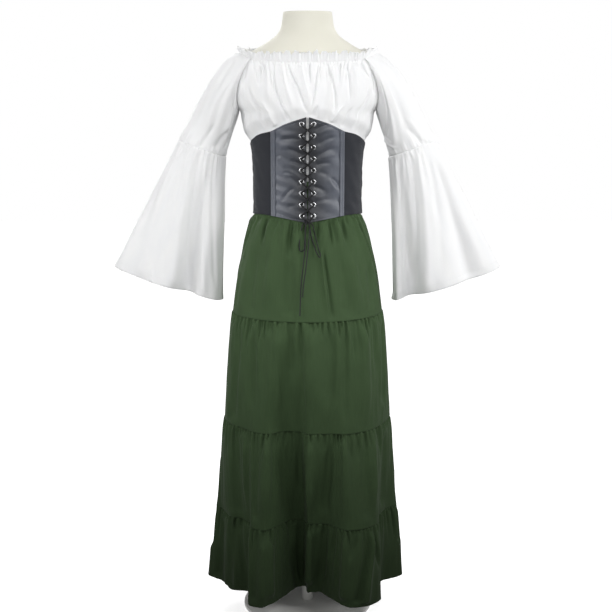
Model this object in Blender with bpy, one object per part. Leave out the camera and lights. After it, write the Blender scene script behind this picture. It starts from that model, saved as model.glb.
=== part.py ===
"""A tiered medieval gown on a limbless dress form, at real size.

The gown is an off-the-shoulder blouse with bell sleeves and a gathered neckline frill, sewn at
the waist to a skirt of four tiers, with a laced waist cincher over the seam. The form stands on
a pole and a round base plate.

Metres, +Z up, the origin on the floor under the pole. The front looks along -Y, and +X is on the
viewer's right. Angles round the body start at the front and grow towards +X.
"""

import math

import bmesh
import bpy
import numpy as np
from mathutils import Vector

# Walls and clearances
CLOTH = 0.0012
LEATHER = 0.0018
ELASTIC = 0.0016
STRIP = 0.0010
SEAM = 0.0004
TIER_SEAM = 0.0006
LAP = 0.0003
EDGE_GAP = 0.0007
CORSET_EASE = 0.0009

# Heights of the seams and edges
HEM_Z = 0.062
SEAM_3_Z = 0.240
SEAM_2_Z = 0.457
SEAM_1_Z = 0.707
WAIST_Z = 1.004
# How far the cloth above and below the cincher's edges is still held under it
HELD_PAST_EDGE = 0.001

# The skirt's first tier below the cincher: height, half width, depth in front and behind
TIER_1_SECTIONS = (
    (0.707, 0.1700, 0.163, 0.161),
    (0.728, 0.1675, 0.160, 0.158),
    (0.786, 0.1590, 0.149, 0.146),
    (0.838, 0.1485, 0.136, 0.130),
    (0.866, 0.1425, 0.128, 0.120),
    (0.906, 0.1290, 0.112, 0.103),
    (0.930, 0.1235, 0.104, 0.093),
)

# The gathered tiers: name, top, bottom, then half width, front and back depth at top and bottom,
# and the gathers in each half
GATHERED_TIERS = (
    ("tier_2", SEAM_1_Z, SEAM_2_Z, (0.1700, 0.163, 0.161), (0.1875, 0.169, 0.168), 12),
    ("tier_3", SEAM_2_Z, SEAM_3_Z, (0.1925, 0.174, 0.173), (0.2075, 0.176, 0.176), 13),
    ("tier_4", SEAM_3_Z, HEM_Z, (0.2125, 0.181, 0.181), (0.2255, 0.180, 0.184), 15),
)
TIER_BULGE = 0.005
TIER_BULGE_DROP = 0.015
GATHER_REACH = 0.0034
GATHER_FADE = 0.060
GATHER_LEFT = 0.25
GATHER_UNEVEN = 0.25
GATHER_BEAT = 2.4
GATHER_SIDES = 3
TIER_ROWS = (0.0, 0.020, 0.080, None)

# Hanging folds: angle, half angle, depth at the hem (outwards if negative), edge power,
# height where the fold starts
FOLDS = (
    (-14.0, 12.0, 0.130, 6, 0.700),
    (10.0, 14.0, 0.092, 6, 0.580),
    (-33.0, 14.0, -0.014, 2, 0.600),
    (38.0, 13.0, -0.017, 2, 0.600),
    (-53.0, 10.0, 0.050, 4, 0.560),
    (-75.0, 15.0, 0.030, 4, 0.500),
    (-93.0, 6.0, -0.012, 2, 0.400),
    (73.0, 16.0, 0.056, 4, 0.560),
    (-116.0, 12.0, 0.040, 2, 0.600),
    (-152.0, 13.0, 0.050, 2, 0.640),
    (166.0, 12.0, 0.044, 2, 0.640),
    (124.0, 13.0, 0.042, 2, 0.600),
)
FOLD_GROWTH = 1.3

# Pleats of the first tier
PLEATS_PER_HALF = 9
PLEAT_REACH = 0.0040
PLEAT_FULL_DROP = 0.045
PLEAT_FADE = 0.120
TIER_1_ROWS = (0.014, 0.050, 0.115)

# The cincher: height, half width, depth in front and behind, at the middle of its wall
CORSET_SECTIONS = (
    (0.905, 0.1230, 0.1020, 0.0900),
    (0.930, 0.1218, 0.1000, 0.0880),
    (0.956, 0.1212, 0.0990, 0.0870),
    (1.000, 0.1215, 0.0990, 0.0865),
    (1.030, 0.1222, 0.1005, 0.0868),
    (1.060, 0.1238, 0.1035, 0.0880),
    (1.083, 0.1278, 0.1075, 0.0905),
    (1.112, 0.1335, 0.1115, 0.0940),
    (1.142, 0.1370, 0.1140, 0.0980),
)
# Its top and bottom edges: angle from the front, height
CORSET_TOP = ((0, 1.142), (24, 1.126), (40, 1.112), (55, 1.105), (70, 1.094), (90, 1.079),
              (130, 1.074), (180, 1.073))
CORSET_BOTTOM = ((0, 0.914), (10, 0.918), (40, 0.928), (90, 0.927), (180, 0.927))
LEATHER_EDGE_X = 0.079
LACING_GAP_TOP = 0.0026
LACING_GAP_BOTTOM = 0.0009
LACING_GAP_HEIGHTS = (0.940, 1.040)
STRIP_WIDTH = 0.010
LEATHER_SIDES = 6
CORSET_ROWS = 8
ELASTIC_SIDES = 34
ELASTIC_ROWS = 4

# Eyelets and lacing
EYELET_ROWS = 9
EYELET_TOP_Z = 1.127
EYELET_BOTTOM_Z = 0.929
EYELET_X = 0.0128
EYELET_R = 0.0056
EYELET_HOLE_R = 0.0033
EYELET_HEIGHT = 0.0006
EYELET_SIDES = 10
HOLE_CUTTER_R = 0.0036
LACE_R = 0.00125
LACE_SIDES = 5
LACE_IN_HOLE = 0.0008
LACE_OVER_RING = 0.0046
LACE_RING_REACH = 0.0037
LACE_LEG = 0.00155
LACE_OVER = 0.0058
LACE_UNDER = 0.0029

# The bow under the last eyelets, and its routes on the skirt
KNOT_Z = 0.9185
KNOT_OFFSET = 0.0052
KNOT_SIZE = (0.0050, 0.0034, 0.0052)
BOW_CORD_R = 0.0012
CORD_POINT_SPACING = 0.0072
LOOP_LEFT = (
    (-0.0090, -0.1085, 0.9130), (-0.0132, -0.1132, 0.9010), (-0.0165, -0.1235, 0.8830),
    (-0.0180, -0.1330, 0.8680), (-0.0145, -0.1392, 0.8570), (-0.0090, -0.1385, 0.8590),
    (-0.0064, -0.1308, 0.8730), (-0.0050, -0.1195, 0.8925), (-0.0040, -0.1105, 0.9075),
)
LOOP_RIGHT = (
    (0.0090, -0.1085, 0.9130), (0.0134, -0.1135, 0.9010), (0.0180, -0.1240, 0.8830),
    (0.0240, -0.1370, 0.8600), (0.0277, -0.1425, 0.8480), (0.0262, -0.1452, 0.8445),
    (0.0210, -0.1428, 0.8520), (0.0137, -0.1325, 0.8700), (0.0074, -0.1212, 0.8895),
    (0.0042, -0.1110, 0.9065),
)
TAIL_LONG = (
    (-0.0029, -0.1114, 0.9161), (-0.0048, -0.1170, 0.9080), (-0.0050, -0.1252, 0.8930),
    (-0.0050, -0.1345, 0.8730), (-0.0064, -0.1435, 0.8520), (-0.0095, -0.1520, 0.8250),
    (-0.0130, -0.1590, 0.7950), (-0.0150, -0.1650, 0.7650), (-0.0160, -0.1695, 0.7380),
    (-0.0165, -0.1712, 0.7220),
)
TAIL_SHORT = (
    (0.0029, -0.1114, 0.9163), (0.0046, -0.1170, 0.9085), (0.0038, -0.1262, 0.8930),
    (0.0020, -0.1375, 0.8700), (-0.0008, -0.1470, 0.8480), (-0.0040, -0.1550, 0.8200),
    (-0.0080, -0.1612, 0.7920), (-0.0108, -0.1655, 0.7620),
)

# The blouse above the cincher: height, half width, depth in front and behind
BLOUSE_SECTIONS = (
    (1.060, 0.1275, 0.110, 0.0920),
    (1.085, 0.1310, 0.114, 0.0950),
    (1.112, 0.1415, 0.117, 0.0970),
    (1.134, 0.1460, 0.119, 0.0985),
    (1.154, 0.1500, 0.119, 0.0990),
    (1.165, 0.1600, 0.118, 0.0985),
    (1.181, 0.1700, 0.115, 0.0980),
    (1.208, 0.1780, 0.108, 0.0950),
    (1.236, 0.1795, 0.098, 0.0900),
    (1.266, 0.1790, 0.081, 0.0830),
    (1.290, 0.1700, 0.066, 0.0790),
)
BLOUSE_SPREAD = 0.028
NECK_CORNER = 43.0
NECKLINE_FRONT_Z = 1.259
NECKLINE_SHOULDER_Z = 1.281
NECKLINE_SHOULDER_X = 0.148
NECKLINE_BACK_Z = 1.284
# The armhole seam from the neckline to the underarm: angle from the middle, heights in front
# and behind
ARMHOLE = (
    (43.0, 1.266, 1.277),
    (51.0, 1.236, 1.240),
    (57.0, 1.208, 1.208),
    (65.0, 1.178, 1.178),
    (90.0, 1.154, 1.154),
)
ARMHOLE_SIDES = 4
ARMHOLE_LAP = 0.0017
NECK_GATHERS = 10
NECK_GATHER_REACH = 0.0042
NECK_GATHER_FADE = 0.055
NECK_GATHER_DROP = 0.018
NECK_GATHER_AT_SEAM = 0.25
BLOUSE_ROWS_ABOVE = (0.0, 0.18, 0.58, 1.0)
BLOUSE_ROWS_HIDDEN = (1 / 3, 2 / 3, 1.0)

# The frill above the neckline
FRILL_WAVES = 38
FRILL_FRONT_HEIGHT = 0.018
FRILL_SIDE_HEIGHT = 0.010
FRILL_REACH = 0.0034
FRILL_FOOT_REACH = 0.0010
FRILL_OUT = 0.0022
FRILL_LIFT = 0.0010

# Sleeves, for the one on the +X side: the elbow seam and the hem of the bell
SHOULDER_SIDES = 6
SLEEVE_ROWS = 5
ELBOW_OUTER = (0.285, 1.092)
ELBOW_INNER = (0.183, 1.055)
ELBOW_DEPTH = 0.046
SLEEVE_OUTER_WAY = (0.490, -0.872)
SLEEVE_INNER_WAY = (0.300, -0.954)
SHOULDER_WAY = (0.985, -0.174)
SLEEVE_DEEP_WAY = 0.35
SLEEVE_HOLD_TOP = 0.24
SLEEVE_HOLD_ELBOW = 0.36
HEM_OUTER = (0.437, 0.809)
HEM_INNER = (0.192, 0.732)
HEM_DEPTH = 0.074
BELL_SIDES = 32
BELL_ROWS = 3
# Folds of the bells: angle from the outer edge through the front, half angle, depth at the hem
BELL_FOLDS_RIGHT = ((68, 13, 0.016), (132, 13, 0.034), (160, 10, -0.010), (-70, 16, 0.022),
                    (-125, 15, 0.026))
BELL_FOLDS_LEFT = ((112, 11, 0.036), (52, 16, 0.008), (150, 14, -0.008), (-60, 15, 0.020),
                   (-118, 15, 0.028))

# The dress form: height, half width, depth in front and behind
FORM_SECTIONS = (
    (0.606, 0.0900, 0.070, 0.072),
    (0.612, 0.1180, 0.094, 0.098),
    (0.630, 0.1400, 0.114, 0.118),
    (0.665, 0.1490, 0.124, 0.130),
    (0.720, 0.1525, 0.130, 0.138),
    (0.780, 0.1500, 0.129, 0.135),
    (0.830, 0.1405, 0.121, 0.119),
    (0.866, 0.1320, 0.111, 0.106),
    (0.905, 0.1185, 0.0975, 0.0855),
    (0.930, 0.1172, 0.0955, 0.0835),
    (1.000, 0.1170, 0.0945, 0.0820),
    (1.060, 0.1192, 0.0985, 0.0835),
    (1.085, 0.1230, 0.1020, 0.0855),
    (1.112, 0.1280, 0.1060, 0.0890),
    (1.140, 0.1350, 0.1080, 0.0905),
    (1.165, 0.1440, 0.1080, 0.0910),
    (1.190, 0.1570, 0.1040, 0.0890),
    (1.215, 0.1650, 0.0960, 0.0850),
    (1.240, 0.1690, 0.0870, 0.0810),
    (1.257, 0.1640, 0.0790, 0.0780),
    (1.273, 0.1490, 0.0725, 0.0765),
    (1.282, 0.1280, 0.0675, 0.0750),
    (1.293, 0.1060, 0.0620, 0.0735),
    (1.304, 0.0880, 0.0570, 0.0715),
    (1.317, 0.0700, 0.0520, 0.0690),
    (1.332, 0.0600, 0.0485, 0.0660),
    (1.350, 0.0560, 0.0460, 0.0630),
    (1.368, 0.0535, 0.0450, 0.0620),
)
FORM_SIDES = 24
POLE_R = 0.0125
POLE_TOP_Z = 0.6056
BASE_R = 0.150
BASE_HEIGHT = 0.006
BASE_BEVEL = 0.0015
TURNED_SIDES = 28

HALF_TURN = 180.0
# A direction that no cord runs along
CROSS_WAY = (0.3, 0.9, 0.2)
# Points along the lines that are measured before they are divided evenly
FINE_POINTS = 721


def clear_scene():
    for thing in list(bpy.data.objects):
        bpy.data.objects.remove(thing)


def material(name, colour, roughness, metallic=0.0):
    made = bpy.data.materials.new(name)
    made.use_nodes = True
    shader = made.node_tree.nodes["Principled BSDF"]
    shader.inputs["Base Color"].default_value = (*colour, 1.0)
    shader.inputs["Roughness"].default_value = roughness
    shader.inputs["Metallic"].default_value = metallic
    return made


def through(table, column, at):
    """A smooth line through one column of a table, against its first column: cubic pieces whose
    slopes are those of the neighbouring rows."""
    rows = np.array(table, float)
    x, y = rows[:, 0], rows[:, column]
    at = np.clip(np.asarray(at, float), x[0], x[-1])
    slope = np.gradient(y, x)
    piece = np.clip(np.searchsorted(x, at) - 1, 0, len(x) - 2)
    step = x[piece + 1] - x[piece]
    t = (at - x[piece]) / step
    return (y[piece] * (1 + 2 * t) * (1 - t) ** 2 + slope[piece] * step * t * (1 - t) ** 2
            + y[piece + 1] * t * t * (3 - 2 * t) + slope[piece + 1] * step * t * t * (t - 1))


def smooth(t):
    t = np.clip(t, 0.0, 1.0)
    return t * t * (3 - 2 * t)


def folded(angle):
    """An angle in degrees brought to the range 0 to 180 from the front."""
    return np.abs((np.asarray(angle, float) + HALF_TURN) % (2 * HALF_TURN) - HALF_TURN)


def oval(angle, half_width, front, back):
    """The x and y of an oval section at an angle from the front."""
    turn = np.radians(angle)
    depth = np.where(np.cos(turn) > 0, front, back)
    return half_width * np.sin(turn), -depth * np.cos(turn)


def section(table, angle, z, grow=0.0):
    return oval(angle, through(table, 1, z) + grow, through(table, 2, z) + grow,
                through(table, 3, z) + grow)


def under_corset(angle, z):
    """The layer of cloth that the cincher holds against the form."""
    return section(CORSET_SECTIONS, angle, z, -(LEATHER / 2 + CORSET_EASE + CLOTH / 2))


def outward(points):
    """Unit normals of a grid of points, rows down and columns along the angle."""
    down = np.gradient(points, axis=0)
    along = np.gradient(points, axis=1)
    normal = np.cross(down, along)
    return normal / np.linalg.norm(normal, axis=2, keepdims=True)


def sheet(name, points, wall, finish, closed=False):
    """A wall of cloth: a grid of points, rows down and columns round, given a thickness."""
    rows, columns = points.shape[:2]
    faces = []
    for row in range(rows - 1):
        for column in range(columns if closed else columns - 1):
            after = (column + 1) % columns
            faces.append((row * columns + column, (row + 1) * columns + column,
                          (row + 1) * columns + after, row * columns + after))
    mesh = bpy.data.meshes.new(name)
    mesh.from_pydata(points.reshape(-1, 3).tolist(), [], faces)
    mesh.materials.append(finish)
    mesh.shade_smooth()
    made = bpy.data.objects.new(name, mesh)
    bpy.context.scene.collection.objects.link(made)
    thicken = made.modifiers.new("wall", "SOLIDIFY")
    thicken.thickness = wall
    thicken.offset = 0.0
    thicken.use_even_offset = False
    return made


def solid(name, bm, finish):
    bmesh.ops.recalc_face_normals(bm, faces=bm.faces)
    mesh = bpy.data.meshes.new(name)
    bm.to_mesh(mesh)
    bm.free()
    mesh.materials.append(finish)
    mesh.shade_smooth()
    mesh.set_sharp_from_angle(angle=math.radians(40))
    made = bpy.data.objects.new(name, mesh)
    bpy.context.scene.collection.objects.link(made)
    return made


def lofted(name, rings, finish):
    """A closed solid through rings of points, with a flat cap on the first and the last."""
    bm = bmesh.new()
    loops = [[bm.verts.new(point) for point in ring] for ring in rings]
    count = len(loops[0])
    for low, high in zip(loops, loops[1:]):
        for i in range(count):
            j = (i + 1) % count
            bm.faces.new((low[i], low[j], high[j], high[i]))
    bm.faces.new(list(reversed(loops[0])))
    bm.faces.new(loops[-1])
    return solid(name, bm, finish)


# The skirt

def fold_depth(angle, z):
    """How far the hanging folds take the cloth in from the tier's oval."""
    taken = np.zeros(np.broadcast(angle, z).shape)
    for centre, half, depth, power, start in FOLDS:
        away = (angle - centre + HALF_TURN) % (2 * HALF_TURN) - HALF_TURN
        growth = np.clip((start - z) / (start - HEM_Z), 0, 1) ** FOLD_GROWTH
        taken = taken + depth * growth * np.exp(-np.abs(away / half) ** power)
    return taken


def tier_points(tier, angle, z):
    """The mean surface of a gathered tier, a grid over heights and angles."""
    _, top, bottom, upper, lower, _ = tier
    share = (top - z) / (top - bottom)
    bulge = TIER_BULGE * (1 - np.exp(-(top - z) / TIER_BULGE_DROP))
    width, front, back = (a + (b - a) * share + bulge for a, b in zip(upper, lower))
    turn = np.radians(angle)
    depth = np.where(np.cos(turn) > 0, front, back)
    reach = 1 / np.sqrt((np.sin(turn) / width) ** 2 + (np.cos(turn) / depth) ** 2)
    reach = reach - fold_depth(angle, z)
    return np.stack(np.broadcast_arrays(reach * np.sin(turn), -reach * np.cos(turn), z), axis=-1)


def even_angles(tier, start, end, count):
    """Angles that lie at even steps of cloth along the tier's lower edge."""
    fine = np.linspace(start, end, FINE_POINTS)
    edge = tier_points(tier, fine, np.full(fine.shape, tier[2]))
    run = np.concatenate([[0], np.cumsum(np.linalg.norm(np.diff(edge, axis=0), axis=1))])
    return np.interp(np.linspace(0, run[-1], count + 1), run, fine)


def halves(width):
    """The front and back of a tube, their side seams held apart by the seam gap."""
    trim = math.degrees(SEAM / 2 / width)
    return (("front", -90 + trim, 90 - trim), ("back", 90 + trim, 270 - trim))


def gathered_tier(tier, finish):
    name, top, bottom, upper, _, gathers = tier
    for half, start, end in halves(upper[0]):
        angle = even_angles(tier, start, end, gathers * GATHER_SIDES)
        drops = [top - bottom if drop is None else drop for drop in TIER_ROWS]
        heights = top - TIER_SEAM / 2 - np.array(drops)
        heights[-1] = bottom + (TIER_SEAM / 2 if bottom > HEM_Z else 0.0)
        z, turn = np.meshgrid(heights, angle, indexing="ij")
        points = tier_points(tier, turn, z)
        column = np.arange(len(angle))
        wave = 0.5 + 0.5 * np.cos(2 * math.pi * column / GATHER_SIDES)
        uneven = 1 - GATHER_UNEVEN * (1 + np.sin(GATHER_BEAT * (column // GATHER_SIDES)))
        fade = GATHER_LEFT + (1 - GATHER_LEFT) * np.exp(-(top - z) / GATHER_FADE)
        reach = GATHER_REACH * fade * (wave * uneven)[None, :]
        reach[:, [0, -1]] = 0.0
        points = points + outward(points) * reach[..., None]
        sheet(f"{name}_{half}", points, CLOTH, finish)


def tier_1(finish):
    """The first tier hangs from the waist seam: held by the cincher, then free and pleated."""
    for half, start, end in halves(TIER_1_SECTIONS[0][1]):
        angle = np.linspace(start, end, PLEATS_PER_HALF * GATHER_SIDES + 1)
        edge = through(CORSET_BOTTOM, 1, folded(angle)) - HELD_PAST_EDGE
        rows = [np.full(angle.shape, WAIST_Z - SEAM / 2), (WAIST_Z + edge) / 2, edge]
        rows += [edge - drop for drop in TIER_1_ROWS]
        rows.append(np.full(angle.shape, SEAM_1_Z + TIER_SEAM / 2))
        z = np.array(rows)
        turn = np.broadcast_to(angle, z.shape)
        held = np.stack(under_corset(turn, z), axis=-1)
        free = np.stack(section(TIER_1_SECTIONS, turn, z), axis=-1)
        drop = edge - z
        share = smooth(drop / BLOUSE_SPREAD)[..., None]
        flat = held * (1 - share) + free * share
        points = np.concatenate([flat, z[..., None]], axis=-1)
        column = np.arange(len(angle))
        wave = 0.5 + 0.5 * np.cos(2 * math.pi * column / GATHER_SIDES)
        grown = smooth(drop / PLEAT_FULL_DROP)
        reach = PLEAT_REACH * grown * np.exp(-np.clip(drop, 0, None) / PLEAT_FADE) * wave
        reach[:, [0, -1]] = 0.0
        points = points + outward(points) * reach[..., None]
        sheet(f"tier_1_{half}", points, CLOTH, finish)


# The blouse

def blouse_points(angle, z):
    """The blouse body: close under the cincher and full above its top edge."""
    edge = through(CORSET_TOP, 1, folded(angle))
    share = smooth((z - edge - HELD_PAST_EDGE) / BLOUSE_SPREAD)[..., None]
    held = np.stack(under_corset(angle, z), axis=-1)
    free = np.stack(section(BLOUSE_SECTIONS, angle, z), axis=-1)
    flat = held * (1 - share) + free * share
    return np.concatenate([flat, z[..., None]], axis=-1)


def armhole_rows(behind):
    """The armhole seam as angles from the middle and heights, neckline first."""
    column = 2 if behind else 1
    angle = np.linspace(ARMHOLE[0][0], ARMHOLE[-1][0], ARMHOLE_SIDES + 1)
    return angle, through(ARMHOLE, column, angle)


def neckline_z(angle, behind):
    middle = NECKLINE_BACK_Z if behind else NECKLINE_FRONT_Z
    corner = ARMHOLE[0][2 if behind else 1]
    return middle + (corner - middle) * (np.asarray(angle) / NECK_CORNER) ** 2


def blouse_half(name, behind, finish):
    """The front or back of the blouse: gathered on the neckline, cut out at the armholes, and
    closed at the side seams."""
    seam_angle, seam_z = armhole_rows(behind)
    neck = np.linspace(-NECK_CORNER, NECK_CORNER, NECK_GATHERS * GATHER_SIDES + 1)
    angle = np.concatenate([-seam_angle[:0:-1], neck, seam_angle[1:]])
    top = np.concatenate([seam_z[:0:-1], neckline_z(neck, behind), seam_z[1:]])
    trim = math.degrees(SEAM / 2 / BLOUSE_SECTIONS[0][1])
    angle[0] += trim
    angle[-1] -= trim
    if behind:
        angle = HALF_TURN + angle
    edge = through(CORSET_TOP, 1, folded(angle)) + HELD_PAST_EDGE
    rows = [top + (edge - top) * share for share in BLOUSE_ROWS_ABOVE]
    waist = WAIST_Z + SEAM / 2
    rows += [edge + (waist - edge) * share for share in BLOUSE_ROWS_HIDDEN]
    z = np.array(rows)
    points = blouse_points(np.broadcast_to(angle, z.shape), z)
    column = np.arange(len(angle)) - ARMHOLE_SIDES
    wave = 0.5 + 0.5 * np.cos(2 * math.pi * column / GATHER_SIDES)
    wave[(column <= 0) | (column >= len(neck) - 1)] = 0.0
    above = smooth((z - edge) / BLOUSE_SPREAD)
    seam = NECK_GATHER_AT_SEAM
    below = seam + (1 - seam) * smooth((top - z) / NECK_GATHER_DROP)
    reach = NECK_GATHER_REACH * above * below * np.exp(-(top - z) / NECK_GATHER_FADE) * wave
    points = points + outward(points) * reach[..., None]
    sheet(name, points, CLOTH, finish)


def armhole_points(behind):
    """The sleeve's side of the armhole seam, lapped out over the body's wall."""
    angle, z = armhole_rows(behind)
    if behind:
        angle = HALF_TURN - angle
    degree, drop = np.array([-0.5, 0.0, 0.5]), np.array([0.001, 0.0, -0.001])
    found = []
    for turn, height in zip(angle, z):
        patch = blouse_points(*np.broadcast_arrays(turn + degree[None, :], height + drop[:, None]))
        found.append(patch[1, 1] + outward(patch)[1, 1] * ARMHOLE_LAP)
    return np.array(found)


def shoulder_points(count):
    """The neckline over the shoulder, from the front corner to the back one."""
    front, back = armhole_points(False)[0], armhole_points(True)[0]
    t = np.linspace(-1, 1, 2 * count + 1)
    corner = np.where(t[:, None] < 0, front, back)
    x = NECKLINE_SHOULDER_X - (NECKLINE_SHOULDER_X - corner[:, 0]) * t ** 2
    y = corner[:, 1] * np.abs(t) ** 1.1
    z = NECKLINE_SHOULDER_Z - (NECKLINE_SHOULDER_Z - corner[:, 2]) * t ** 2
    return np.stack([x, y, z], axis=-1)


def elbow_ring(turn, drop):
    """The elbow seam: an oval that leans with the sleeve, moved down it by a drop."""
    outer, inner = np.array(ELBOW_OUTER), np.array(ELBOW_INNER)
    middle, reach = (outer + inner) / 2, (outer - inner) / 2
    down = np.array([reach[1], -reach[0]]) / np.linalg.norm(reach)
    across = middle + reach * np.cos(turn)[:, None] + down * drop
    return np.stack([across[:, 0], -ELBOW_DEPTH * np.sin(turn), across[:, 1]], axis=-1)


def upper_sleeve(name, side, finish):
    """The raglan upper sleeve: cubic lines from the neckline and armhole to the elbow seam."""
    shoulder = shoulder_points(SHOULDER_SIDES // 2)
    middle = SHOULDER_SIDES // 2
    front, back = armhole_points(False), armhole_points(True)
    top = np.concatenate([shoulder[middle:0:-1], front, back[-2::-1], shoulder[-2:middle:-1]])
    count = len(top)
    turn = 2 * math.pi * np.arange(count) / count
    foot = elbow_ring(turn, -EDGE_GAP / 2)
    inner = ((1 - np.cos(turn)) / 2)[:, None]
    outer_way, inner_way, first_way = (np.array([way[0], 0.0, way[1]]) for way in
                                       (SLEEVE_OUTER_WAY, SLEEVE_INNER_WAY, SHOULDER_WAY))
    leaving = first_way * (1 - inner) ** 1.5 + inner_way * inner
    leaving[:, 1] -= SLEEVE_DEEP_WAY * np.sin(turn)
    leaving /= np.linalg.norm(leaving, axis=1, keepdims=True)
    arriving = outer_way * (1 - inner) + inner_way * inner
    span = np.linalg.norm(foot - top, axis=1, keepdims=True)
    first = top + leaving * span * SLEEVE_HOLD_TOP
    second = foot - arriving * span * SLEEVE_HOLD_ELBOW
    rows = []
    for t in np.linspace(0, 1, SLEEVE_ROWS + 1):
        rows.append(top * (1 - t) ** 3 + 3 * first * t * (1 - t) ** 2
                    + 3 * second * t * t * (1 - t) + foot * t ** 3)
    points = np.array(rows)
    if side < 0:
        points = points[:, ::-1] * np.array([-1, 1, 1])
    sheet(name, points[:, ::-1], CLOTH, finish, closed=True)


def bell(name, side, folds, finish):
    """The bell: straight lines from the elbow seam to a wide slanting hem, with hanging folds."""
    turn = 2 * math.pi * np.arange(BELL_SIDES) / BELL_SIDES
    top = elbow_ring(turn, EDGE_GAP / 2)
    outer, inner = np.array(HEM_OUTER), np.array(HEM_INNER)
    middle, reach = (outer + inner) / 2, (outer - inner) / 2
    taken = np.zeros(BELL_SIDES)
    for centre, half, depth in folds:
        away = (np.degrees(turn) - centre + HALF_TURN) % (2 * HALF_TURN) - HALF_TURN
        taken += depth * np.exp(-(away / half) ** 2)
    across = middle + reach * np.cos(turn)[:, None]
    deep = -HEM_DEPTH * np.sin(turn) + taken * np.sign(np.sin(turn))
    foot = np.stack([across[:, 0], deep, across[:, 1]], axis=-1)
    share = np.linspace(0, 1, BELL_ROWS + 1)[:, None, None]
    points = top[None] * (1 - share) + foot[None] * share
    if side < 0:
        points = points[:, ::-1] * np.array([-1, 1, 1])
    sheet(name, points[:, ::-1], CLOTH, finish, closed=True)


def neckline_ring(count):
    """The neckline all round at even steps, from the front middle towards +X."""
    front = np.linspace(0, NECK_CORNER, 30)
    ahead = blouse_points(front, neckline_z(front, False))
    behind = blouse_points(HALF_TURN - front, neckline_z(front, True))
    half = np.concatenate([ahead, shoulder_points(15), behind[::-1]])
    line = np.concatenate([half, half[-2:0:-1] * np.array([-1, 1, 1]), half[:1]])
    run = np.concatenate([[0], np.cumsum(np.linalg.norm(np.diff(line, axis=0), axis=1))])
    even = np.linspace(0, run[-1], count, endpoint=False)
    return np.stack([np.interp(even, run, line[:, axis]) for axis in range(3)], axis=-1)


def neck_frill(finish):
    """The frill above the gathering line: a ruffled ring, lower at the shoulders."""
    foot = neckline_ring(FRILL_WAVES * GATHER_SIDES)
    flat = np.gradient(np.concatenate([foot[-1:], foot, foot[:1]]), axis=0)[1:-1]
    out = np.stack([flat[:, 1], -flat[:, 0], np.zeros(len(flat))], axis=-1)
    out /= np.linalg.norm(out, axis=1, keepdims=True)
    wave = 0.5 + 0.5 * np.cos(2 * math.pi * np.arange(len(foot)) / GATHER_SIDES)
    aside = np.abs(foot[:, 0]) / NECKLINE_SHOULDER_X
    height = FRILL_FRONT_HEIGHT + (FRILL_SIDE_HEIGHT - FRILL_FRONT_HEIGHT) * aside ** 2
    up = np.array([0.0, 0.0, 1.0])
    low = foot + up * FRILL_LIFT + out * (FRILL_OUT / 2 + FRILL_FOOT_REACH * wave)[:, None]
    high = foot + up * height[:, None] + out * (FRILL_OUT + FRILL_REACH * wave)[:, None]
    sheet("neck_frill", np.array([high, low]), CLOTH, finish, closed=True)


# The cincher

def corset_points(x, z, offset=0.0):
    """Points on the cincher's front by x and height, moved out from the middle of its wall."""
    x, z = np.broadcast_arrays(np.asarray(x, float), np.asarray(z, float))

    def at(x, z):
        width, front = through(CORSET_SECTIONS, 1, z), through(CORSET_SECTIONS, 2, z)
        return np.stack([x, -front * np.sqrt(1 - (x / width) ** 2), z], axis=-1)

    step = 0.001
    along, up = at(x + step, z) - at(x - step, z), at(x, z + step) - at(x, z - step)
    normal = np.cross(along, up)
    normal /= np.linalg.norm(normal, axis=-1, keepdims=True)
    return at(x, z) + normal * np.asarray(offset)[..., None], normal


def angle_at(x, z):
    return np.degrees(np.arcsin(x / through(CORSET_SECTIONS, 1, z)))


def corset_edges(x):
    """The cincher's bottom and top heights at each x of its front."""
    angle = angle_at(np.abs(x), WAIST_Z)
    return through(CORSET_BOTTOM, 1, angle), through(CORSET_TOP, 1, angle)


def front_grid(inner, outer, columns, rows):
    """Heights and x of a front panel between two upright edges, bottom row first."""
    across = np.linspace(0, 1, columns + 1)
    share = np.linspace(0, 1, rows + 1)[:, None]
    bottom, top = corset_edges(LEATHER_EDGE_X * across)
    if inner is None:
        z = bottom + (top - bottom) * share
        low, high = LACING_GAP_HEIGHTS
        gap = LACING_GAP_BOTTOM + ((LACING_GAP_TOP - LACING_GAP_BOTTOM)
                                   * smooth((z - low) / (high - low)))
        return gap + (outer - gap) * across, z
    x = inner + (outer - inner) * across
    bottom, top = corset_edges(x)
    z = bottom + (top - bottom) * share
    return np.broadcast_to(x, z.shape), z


def leather_front(name, side, finish):
    """One leather front: its holes take the eyelets."""
    x, z = front_grid(None, LEATHER_EDGE_X, LEATHER_SIDES, CORSET_ROWS)
    points, _ = corset_points(x * side, z)
    panel = sheet(name, points[::-1] if side > 0 else points[::-1, ::-1], LEATHER, finish)
    bm = bmesh.new()
    for height in eyelet_heights():
        centre, normal = corset_points(EYELET_X * side, height)
        turned = Vector(normal).to_track_quat("Z", "Y").to_matrix().to_4x4()
        turned.translation = Vector(centre)
        bmesh.ops.create_cone(bm, cap_ends=True, segments=EYELET_SIDES, radius1=HOLE_CUTTER_R,
                              radius2=HOLE_CUTTER_R, depth=6 * LEATHER, matrix=turned)
    cutter = solid(f"{name}_holes", bm, finish)
    cutter.hide_render = True
    cutter.display_type = "WIRE"
    cut = panel.modifiers.new("eyelet holes", "BOOLEAN")
    cut.operation = "DIFFERENCE"
    cut.object = cutter


def edge_strip(name, side, finish):
    """The stitched strip along a leather front's outer edge."""
    x, z = front_grid(LEATHER_EDGE_X - STRIP_WIDTH, LEATHER_EDGE_X, 1, CORSET_ROWS)
    points, _ = corset_points(x * side, z, LEATHER / 2 + LAP + STRIP / 2)
    sheet(name, points[::-1] if side > 0 else points[::-1, ::-1], STRIP, finish)


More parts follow.
